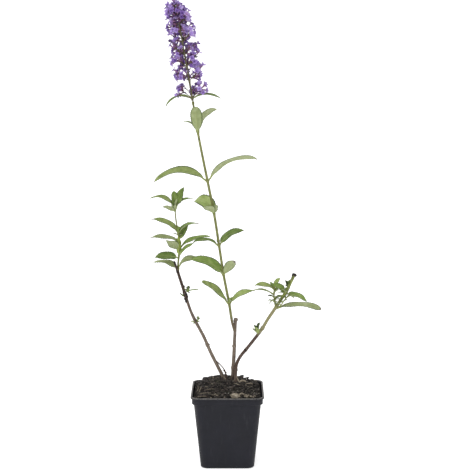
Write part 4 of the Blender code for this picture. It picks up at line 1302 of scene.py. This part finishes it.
def crown_rachis(flowers):
    """A bud on the rachis's tip and a ring of buds that lean out round it."""
    crown, up, _ = on_limb(RACHIS, RACHIS[-1][2] - 1)
    for n in range(CROWN_BUDS + 1):
        lean = CROWN_LEAN if n else 0.0
        out = level(math.tau * n / CROWN_BUDS) * lean
        flowers.bud(crown - up * 4 * lean, unit(up + out), CROWN_BUD_LENGTH, CROWN_BUD_RADIUS,
                    "petal_rose")


def make_panicle():
    """Rachis, bracts and tiers of little cymes with trumpet florets, calyces and buds."""
    dice = random.Random(FLORET_SEED)
    flowers = Flowers()
    grow_tiers(flowers, dice)
    grow_stem(flowers.stalks, RACHIS, tier_heights(), SHOOT_SIDES, "rachis_skin")
    grow_round_buds(flowers, dice)
    crown_rachis(flowers)
    flowers.place()
    make_leaves("flower_bracts", [(RACHIS, BRACTS)], dice, "flower_panicle")


# Pot

def rounded_square(half, corner, z, centre=(0.0, 0.0)):
    """Points round a square with round corners, anticlockwise seen from above."""
    points = []
    for quarter in range(4):
        middle = math.radians(45 + 90 * quarter)
        reach = (half - corner) * math.sqrt(2)
        for step in range(CORNER_STEPS + 1):
            angle = math.radians(90 * quarter + 90 * step / CORNER_STEPS)
            points.append((centre[0] + reach * math.cos(middle) + corner * math.cos(angle),
                           centre[1] + reach * math.sin(middle) + corner * math.sin(angle), z))
        turn = math.radians(90 * quarter + 90)
        start = np.array(points[-1])
        run = 2 * (half - corner)
        for step in range(1, SIDE_STEPS):
            share = run * step / SIDE_STEPS
            points.append(tuple(start + np.array((-math.sin(turn), math.cos(turn), 0)) * share))
    return points


def arc(centre, radius, first, last, steps):
    """Profile points (half width, height) round an arc, in degrees."""
    angles = [math.radians(first + (last - first) * k / steps) for k in range(steps + 1)]
    return [(centre[0] + radius * math.cos(a), centre[1] + radius * math.sin(a)) for a in angles]


def body_half(z):
    """Outer half width of the pot's tapering wall."""
    band_foot = POT_HEIGHT - LIP_TALL - BAND_TALL
    return BASE_HALF + (BODY_TOP_HALF - BASE_HALF) * z / band_foot


def pot_profile():
    """Half widths and heights round the pot's wall, from the underside up and back inside."""
    band_foot = POT_HEIGHT - LIP_TALL - BAND_TALL
    lip_foot = POT_HEIGHT - LIP_TALL
    foot = body_half(2.0)
    outside = [(20.0, 0.0), (foot - 2.6, 0.0)] + arc((foot - 2.0, 2.0), 2.0, -90, 0, 5)
    outside += [(body_half(z), z) for z in (20.0, 45.0, 70.0, band_foot - 0.5)]
    outside += arc((body_half(band_foot) + 0.5, band_foot - 0.3), 0.5, 180, 90, 2)
    outside += arc((BAND_HALF - 0.7, band_foot + 0.9), 0.7, -90, 0, 3)
    outside += [(BAND_HALF, lip_foot - 0.5)]
    outside += arc((BAND_HALF + 0.4, lip_foot - 0.4), 0.4, 180, 90, 2)
    outside += arc((LIP_HALF - 0.6, lip_foot + 0.6), 0.6, -90, 0, 3)
    outside += arc((LIP_HALF - 0.8, POT_HEIGHT - 0.8), 0.8, 0, 90, 4)
    inner_lip = LIP_HALF - LIP_WIDE
    inside = arc((inner_lip + 0.6, POT_HEIGHT - 0.6), 0.6, 90, 180, 3)
    inside += [(BAND_HALF - WALL, lip_foot - 1.5), (BAND_HALF - WALL - 0.3, band_foot + 1.4),
               (body_half(band_foot) - WALL, band_foot - 0.6),
               (body_half(FLOOR + 1.5) - WALL, FLOOR + 1.5),
               (body_half(FLOOR) - WALL - 1.2, FLOOR), (20.0, FLOOR)]
    return outside + inside


def make_pot():
    rings = [rounded_square(half, min(CORNER_RADIUS - (LIP_HALF - half) * 0.12, half * 0.6), z)
             for half, z in pot_profile()]
    heap = Heap("pot_plastic")
    heap.add(*closed(rings, (0, 0, 0), (0, 0, FLOOR)), "pot_plastic")
    pot = heap.piece("nursery_pot", "pot", "pot")
    for x in (-DRAIN_OUT, DRAIN_OUT):
        for y in (-DRAIN_OUT, DRAIN_OUT):
            drill_hole(pot, x, y)
    pot.data.set_sharp_from_angle(angle=math.radians(40))


def drill_hole(pot, x, y):
    """A drain hole with a small countersink, cut through the pot's floor."""
    route = np.array([(x, y, z) for z in (-2.0, 0.0, COUNTERSINK, FLOOR + 2.0)])
    wide = DRAIN_RADIUS + COUNTERSINK
    points, faces = sweep(route, [wide, wide, DRAIN_RADIUS, DRAIN_RADIUS], DRAIN_SIDES)
    mesh = bpy.data.meshes.new("drill")
    mesh.from_pydata((points * MM).tolist(), [], [list(face) for part in faces for face in part])
    mesh.materials.append(FINISHES["pot_plastic"])
    drill = put("drill", mesh)
    cut = pot.modifiers.new("drain", "BOOLEAN")
    cut.operation = "DIFFERENCE"
    cut.object = drill
    graph = bpy.context.evaluated_depsgraph_get()
    shaped = bpy.data.meshes.new_from_object(pot.evaluated_get(graph))
    pot.modifiers.clear()
    pot.data = shaped
    bpy.data.objects.remove(drill, do_unlink=True)


# Soil

def ground(x, y, edge_share):
    """Height of the peat: a mound behind the middle, lumps, and crumbs on top of those."""
    dx = (x - MOUND_CENTRE[0]) / MOUND_SPREAD[0]
    dy = (y - MOUND_CENTRE[1]) / MOUND_SPREAD[1]
    mound = (SOIL_TOP_Z - SOIL_EDGE_Z + MOUND_EXTRA) * math.exp(-dx * dx - dy * dy)
    lumps = SOIL_LUMP * noise_at(x * 0.13, y * 0.13, 2.0)
    crumbs = SOIL_CRUMB * (noise_at(x * 0.5, y * 0.5, 7.0) + 0.6 * noise_at(x * 1.3, y * 1.3, 3.0))
    top = min(SOIL_TOP_Z - 0.5, SOIL_EDGE_Z + 0.4 + mound * edge_share)
    return top + lumps * (0.3 + 0.7 * edge_share) + crumbs


def make_soil():
    corner = CORNER_RADIUS - 1
    rings = [rounded_square(SOIL_HALF, corner, SOIL_FOOT_Z)]
    for step in range(SOIL_RINGS):
        share = step / SOIL_RINGS
        half = SOIL_HALF * (1 - share)
        centre = (MOUND_CENTRE[0] * share, MOUND_CENTRE[1] * share)
        ring_corner = min(corner, half * 0.6) + half * 0.3 * share
        ring = rounded_square(half, ring_corner, 0, centre)
        rings.append([(x, y, ground(x, y, min(1.0, EDGE_SLOPE * share))) for x, y, _ in ring])
    crest = (*MOUND_CENTRE, ground(*MOUND_CENTRE, 1.0))
    heap = Heap("peat_ground")
    heap.add(*closed(rings, (0, 0, SOIL_FOOT_Z), crest), "peat_ground")
    heap.piece("peat", "peat", "potting_soil")


def soil_spot(dice, margin):
    """A seeded place on the soil, with its height."""
    half = SOIL_HALF - margin
    while True:
        x = dice.uniform(-half, half)
        y = dice.uniform(-half, half)
        if abs(x) + abs(y) < 2 * half - 4:
            edge = max(abs(x), abs(y)) / SOIL_HALF
            return x, y, ground(x, y, min(1.0, EDGE_SLOPE * (1 - edge)))


# Rings and sides of a lump, by how large it is
CRUMB_DETAIL = (5, 8)
KNOT_DETAIL = (8, 12)
STONE_DETAIL = (14, 20)


def ball_template(rings, sides):
    """Points and faces of a unit ball."""
    angles = [math.tau * k / sides for k in range(sides)]
    tilts = [math.pi * ring / rings for ring in range(1, rings)]
    shell = [[(math.sin(tilt) * math.cos(a), math.sin(tilt) * math.sin(a), -math.cos(tilt))
              for a in angles] for tilt in tilts]
    return closed(shell, (0, 0, -1), (0, 0, 1))


def turned(points, dice, tilt):
    """Points turned about the upright by any angle, and tipped by up to tilt degrees."""
    a = dice.uniform(0, math.tau)
    b = math.radians(dice.uniform(-tilt, tilt))
    c = math.radians(dice.uniform(-tilt, tilt))
    about_z = np.array([[math.cos(a), -math.sin(a), 0], [math.sin(a), math.cos(a), 0], [0, 0, 1]])
    about_x = np.array([[1, 0, 0], [0, math.cos(b), -math.sin(b)], [0, math.sin(b), math.cos(b)]])
    about_y = np.array([[math.cos(c), 0, math.sin(c)], [0, 1, 0], [-math.sin(c), 0, math.cos(c)]])
    return points @ (about_z @ about_x @ about_y).T


def lump(heap, finish, place, size, dice, tilt=180, rough=0.35, detail=CRUMB_DETAIL):
    """A rough grain: a ball stretched to size and pitted by noise."""
    ball, faces = ball_template(*detail)
    offset = dice.uniform(0, 90)
    bumps = np.array([1 + rough * noise_at(*(point * 1.6 + offset)) * 2 for point in ball])
    points = turned(ball * bumps[:, None] * np.array(size), dice, tilt)
    heap.add(points + np.array(place), faces, finish)


def fibre(heap, finish, place, length, radius, dice):
    """A thin bent strand that lies on the soil."""
    heading = dice.uniform(0, math.tau)
    bend = dice.uniform(-1.6, 1.6)
    steps = np.linspace(0, 1, FIBRE_RINGS)
    angles = heading + bend * steps
    run = np.stack([np.cos(angles), np.sin(angles), np.zeros(FIBRE_RINGS)], axis=1)
    route = np.cumsum(run * length / (FIBRE_RINGS - 1), axis=0)
    route = route - route[FIBRE_RINGS // 2]
    route[:, 2] = np.sin(math.pi * steps) * dice.uniform(0.2, 1.0)
    route[:, 2] += (steps - 0.5) * dice.uniform(-2.0, 2.0)
    taper = radius * (1 - 0.5 * np.abs(2 * steps - 1) ** 2)
    heap.tube(route + np.array(place), taper, FIBRE_SIDES, finish)


# Roots, twigs and straw on the peat: finish, radius and the points each passes through
SOIL_TWIGS = [
    ("straw", 0.8, (10.8, -2.8, 109.5), (12.8, -3.6, 105), (14.6, -3.6, 101.6), (17, -3, 98.8)),
    ("straw", 1.1, (14.4, -2.4, 100.6), (17.4, -1, 102.8), (21.4, 0.6, 101.8), (24, 3, 98.8)),
    ("straw", 0.6, (-4.8, 0.4, 107.4), (-1.8, -1.6, 103.6), (0.6, -3.2, 99.8)),
    ("bark_chip", 0.9, (-6.2, 0.6, 106.4), (-6.6, -3, 102.4), (-5.4, -7, 98.4)),
    ("bark_chip", 0.8, (6.6, 1, 107), (5, -2.4, 102.6), (4.4, -6.4, 98.4)),
    ("straw", 0.7, (15.5, -35, 91.2), (15, -33.4, 94), (17.6, -32.4, 95.4), (20.4, -33, 94.2)),
    ("straw", 0.6, (20.4, -34, 91.6), (22.6, -34.4, 92.8), (26, -33.6, 92.6)),
    ("bark_chip", 1.5, (9, 0, 101.4), (13.5, 3, 101.6), (18, 6, 100.4), (24, 8, 98.6)),
    ("straw", 0.45, (-36, -18, 90.4), (-34, -15, 94.6), (-32.4, -10, 97.4)),
    ("straw", 0.4, (-38, -12, 90.6), (-36.4, -9, 94.8), (-37, -5, 97.2)),
    ("bark_chip", 0.45, (-22, 6, 103.6), (-20, -2, 102), (-17.4, -14, 95.6)),
    ("straw", 0.42, (-20, -29, 92), (-15, -31, 93), (-10.6, -30, 92.2)),
    ("straw", 0.3, (-38, -33, 90.6), (-31, -34, 92), (-25, -33, 91.2)),
    ("straw", 0.34, (-34, -24, 92.6), (-27, -26, 94), (-20, -24.6, 93.6)),
    ("moss_fibre", 0.4, (-30, -29, 92), (-24, -30, 92.8), (-17, -28.6, 92.6)),
    ("straw", 0.3, (-26, -17, 95.6), (-20, -18, 96.8), (-14, -16, 96.4)),
    ("moss_fibre", 0.4, (-12, -35, 91), (-6, -34.6, 92.4), (-1, -36, 91.2)),
    ("moss_fibre", 0.5, (4, -22, 94.4), (11, -23.4, 95.2), (19, -22, 94.2)),
    ("moss_fibre", 0.5, (6, -15, 97), (14, -16.4, 97.4), (22, -14, 96.6)),
    ("moss_fibre", 0.45, (28, -26, 92.2), (32, -20, 94.4), (34, -13, 95.2)),
    ("moss_fibre", 0.45, (22, -20, 94.2), (27, -12, 96.6), (31, -4, 96.4)),
    ("bark_chip", 0.7, (-34, -30, 90.6), (-27, -32, 91.8), (-21, -31, 90.8)),
]
# Share of its radius that a twig has at its foot and at its tip
TWIG_TAPER = (0.75, 0.5)
LITTER_TWIG_SIDES = 9
STONE_AT = (9.0, -33.4, 92.6)
STONE_SIZE = (5.2, 4.4, 3.0)
# Pale grit as (x, y, z, radius)
PALE_BITS = [
    (24.0, -35.0, 91.8, 1.9), (28.5, -34.0, 91.8, 1.7), (31.0, -36.0, 91.4, 1.5),
    (34.0, -32.0, 91.6, 1.4), (26.0, -30.0, 92.4, 1.2), (-20.0, -37.0, 91.0, 1.2),
    (-13.0, -31.0, 92.0, 1.6), (-3.0, -35.5, 91.2, 1.1), (12.0, -36.5, 91.0, 1.3),
    (20.0, 4.0, 99.6, 1.8), (-18.0, 10.0, 103.2, 1.3), (-8.6, 20.0, 103.6, 1.2),
]
# Flat flakes of black bark as (x, y, z, length, width)
BLACK_BARK = [
    (-22, 15, 102.6, 7, 3), (-13, 17, 104, 6, 2.6), (-30, 9, 99.2, 5, 2.4),
    (17, 22, 102.4, 4.6, 2.8), (25, 21, 100.6, 3.8, 2.4), (31, 24, 97.4, 3, 2.2),
    (-30, -8, 97, 4, 2.2), (-6, -9, 99.6, 4.4, 2.4), (12, -10, 98.6, 4, 2.2),
    (27, -2, 97.4, 4, 2), (34, 8, 96.4, 3.6, 2), (-36, 15, 96.6, 5, 3.4),
    (-28, 21, 99.4, 6, 3.2), (-19, 25, 101, 6, 2.8), (-34, 2, 97.2, 4.6, 2.6),
    (-25, 2, 100, 5, 2.6), (-8, 26, 101.4, 5, 2.6),
]
CRUMBS = 1100
CHIPS = 170
FIBRES = 240
FIBRE_RINGS = 9
FIBRE_SIDES = 6
STRAWS = 14
WHITE_GRAINS = 26


def make_litter():
    """Crumbs, bark chips, fibres, straw, white grains and a stone on the peat."""
    dice = random.Random(21)
    crumbs = Heap("peat_crumb", "peat_pale")
    for _ in range(CRUMBS):
        x, y, z = soil_spot(dice, 1.0)
        r = dice.uniform(0.35, 1.3) * dice.choice((1, 1, 1.5))
        tone = dice.choice(("peat_crumb", "peat_crumb", "peat_crumb", "peat_pale"))
        lump(crumbs, tone, (x, y, z + r * 0.3), (r, r * 0.8, r * 0.65), dice)
    crumbs.piece("peat_crumbs", "peat")
    chips = Heap("bark_chip")
    for _ in range(CHIPS):
        x, y, z = soil_spot(dice, 4.0)
        length = dice.uniform(1.6, 4.6)
        size = (length, length * dice.uniform(0.3, 0.55), dice.uniform(0.35, 0.7))
        lump(chips, "bark_chip", (x, y, z + 0.5), size, dice, 32, 0.22)
    chips.piece("bark_chips", "peat")
    strands = Heap("moss_fibre", "straw")
    for _ in range(FIBRES):
        x, y, z = soil_spot(dice, 6.0)
        fibre(strands, "moss_fibre", (x, y, z + 0.5), dice.uniform(4, 12), dice.uniform(0.16, 0.4),
              dice)
    for _ in range(STRAWS):
        x, y, z = soil_spot(dice, 9.0)
        fibre(strands, "straw", (x, y, z + 0.8), dice.uniform(6, 16), dice.uniform(0.25, 0.5), dice)
    strands.piece("soil_fibres", "peat")
    grains = Heap("perlite", "stone")
    for _ in range(WHITE_GRAINS):
        x, y, z = soil_spot(dice, 5.0)
        r = dice.uniform(0.3, 0.6)
        lump(grains, "perlite", (x, y, z + r * 0.5), (r, r, r * 0.8), dice)
    lump(grains, "stone", STONE_AT, STONE_SIZE, dice, 12, 0.3, STONE_DETAIL)
    for x, y, z, r in PALE_BITS:
        lump(grains, "stone", (x, y, z), (r, r * 0.7, r * 0.6), dice, 60, 0.3)
    grains.piece("soil_grains", "peat")
    lay_twigs(dice)


def lay_twigs(dice):
    """Rough twigs, roots and flakes of bark, each at its own place."""
    wood = Heap("straw", "bark_chip", "moss_fibre", "cut_black")
    for finish, radius, *places in SOIL_TWIGS:
        shares = [TWIG_TAPER[0]] + [1.0] * (len(places) - 2) + [TWIG_TAPER[1]]
        guide = [(*place, radius * share) for place, share in zip(places, shares)]
        route, radii = smooth_route(guide, 0.6)
        rough = np.array([[1 + 0.22 * noise_at(k * 0.8, i * 0.3, x)
                           for k in range(LITTER_TWIG_SIDES)]
                          for i, x in enumerate(route[:, 0])])
        wood.tube(route, radii[:, None] * rough, LITTER_TWIG_SIDES, finish)
    for x, y, z, long, wide in BLACK_BARK:
        lump(wood, "cut_black", (x, y, z), (long, wide, 1.0), dice, 14, 0.16, KNOT_DETAIL)
    wood.piece("soil_twigs", "peat")


# Studio, in metres

SURROUND_LIGHT = 0.45
PAPER_GLOW = 0.3
SEEN_GLOW = 0.3
FLOOR_HALF = 3.0
BACK_Y = 2.2
BACK_TOP = 4.0
SWEEP_RADIUS = 1.4
FLOOR_DROP = 0.0002
# Each lamp: place, aim, size and power
LAMPS = {
    "key": ((-1.1, -1.7, 1.6), (0, 0, 0.28), (1.0, 1.0), 19),
    "fill": ((1.6, -1.4, 0.9), (0, 0, 0.25), (1.4, 1.4), 6),
    "overhead": ((0.0, 0.3, 2.2), (0, 0, 0.2), (1.6, 1.6), 9),
}


def area_light(name, place, aim, size, power):
    lamp = bpy.data.lights.new(name, "AREA")
    lamp.shape = "RECTANGLE"
    lamp.size, lamp.size_y = size
    lamp.energy = power
    obj = put(name, lamp)
    obj.location = place
    obj.rotation_euler = (Vector(aim) - Vector(place)).to_track_quat("-Z", "Y").to_euler()


def pale_paper():
    """Nearly white paper that glows, and by more where the camera sees it."""
    finish = Finish("pale_paper", 0.9)
    finish.paint(finish.mix(finish.noise(finish.object_place(), 30.0), paint(246, 246, 246),
                            paint(250, 250, 250)))
    finish.shader.inputs["Emission Color"].default_value = paint(255, 255, 255)
    seen = finish.add("ShaderNodeLightPath").outputs["Is Camera Ray"]
    glow = finish.math("ADD", finish.math("MULTIPLY", seen, SEEN_GLOW), PAPER_GLOW)
    finish.feed(glow, finish.shader, "Emission Strength")
    return finish.material


def make_floor():
    """A pale paper floor that sweeps up behind the plant."""
    outline = [(-FLOOR_HALF, 0.0), (BACK_Y - SWEEP_RADIUS, 0.0)]
    outline += [(BACK_Y - SWEEP_RADIUS + SWEEP_RADIUS * math.sin(a),
                 SWEEP_RADIUS - SWEEP_RADIUS * math.cos(a))
                for a in np.linspace(0.1, math.pi / 2, 12)]
    outline += [(BACK_Y, BACK_TOP)]
    points = [(x, y, z - FLOOR_DROP) for y, z in outline for x in (-FLOOR_HALF, FLOOR_HALF)]
    faces = [(2 * k, 2 * k + 1, 2 * k + 3, 2 * k + 2) for k in range(len(outline) - 1)]
    mesh = bpy.data.meshes.new("studio_sweep")
    mesh.from_pydata(points, [], faces)
    mesh.shade_smooth()
    mesh.materials.append(pale_paper())
    put("studio_sweep", mesh)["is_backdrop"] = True


def make_surround():
    """A white world, which the camera sees at full strength and the plant is lit by less."""
    world = bpy.data.worlds.new("white_surround")
    world.use_nodes = True
    box = Paintbox(world.node_tree)
    backdrop = world.node_tree.nodes["Background"]
    lit = box.add("ShaderNodeBackground")
    for surround, strength in ((backdrop, 1.0), (lit, SURROUND_LIGHT)):
        surround.inputs["Color"].default_value = (1, 1, 1, 1)
        surround.inputs["Strength"].default_value = strength
    either = box.add("ShaderNodeMixShader")
    box.feed(box.add("ShaderNodeLightPath").outputs["Is Camera Ray"], either, 0)
    box.feed(lit.outputs[0], either, 1)
    box.feed(backdrop.outputs[0], either, 2)
    box.feed(either.outputs[0], world.node_tree.nodes["World Output"], "Surface")
    bpy.context.scene.world = world
    bpy.context.scene.view_settings.view_transform = "Standard"


def make_camera():
    lens = bpy.data.cameras.new("camera")
    lens.lens = CAMERA_LENS
    lens.sensor_width = SENSOR_WIDTH
    camera = put("camera", lens)
    camera.location = Vector(CAMERA_PLACE) * MM
    camera.rotation_euler = (math.pi / 2 - CAMERA_PITCH, 0, 0)
    bpy.context.scene.camera = camera


make_camera()
make_floor()
for lamp_name, lamp_row in LAMPS.items():
    area_light(lamp_name, *lamp_row)
make_surround()
make_pot()
make_soil()
make_litter()
for cane, made_of in CANES.items():
    make_cane(cane, *made_of)
make_green_stems()
make_dry_twig()
make_stem_leaves()
make_shoot_leaves()
make_tufts()
make_panicle()

boxes = {"cad": cad_box, "visual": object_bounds()}
{name: [list(corner) for corner in box] for name, box in boxes.items()}
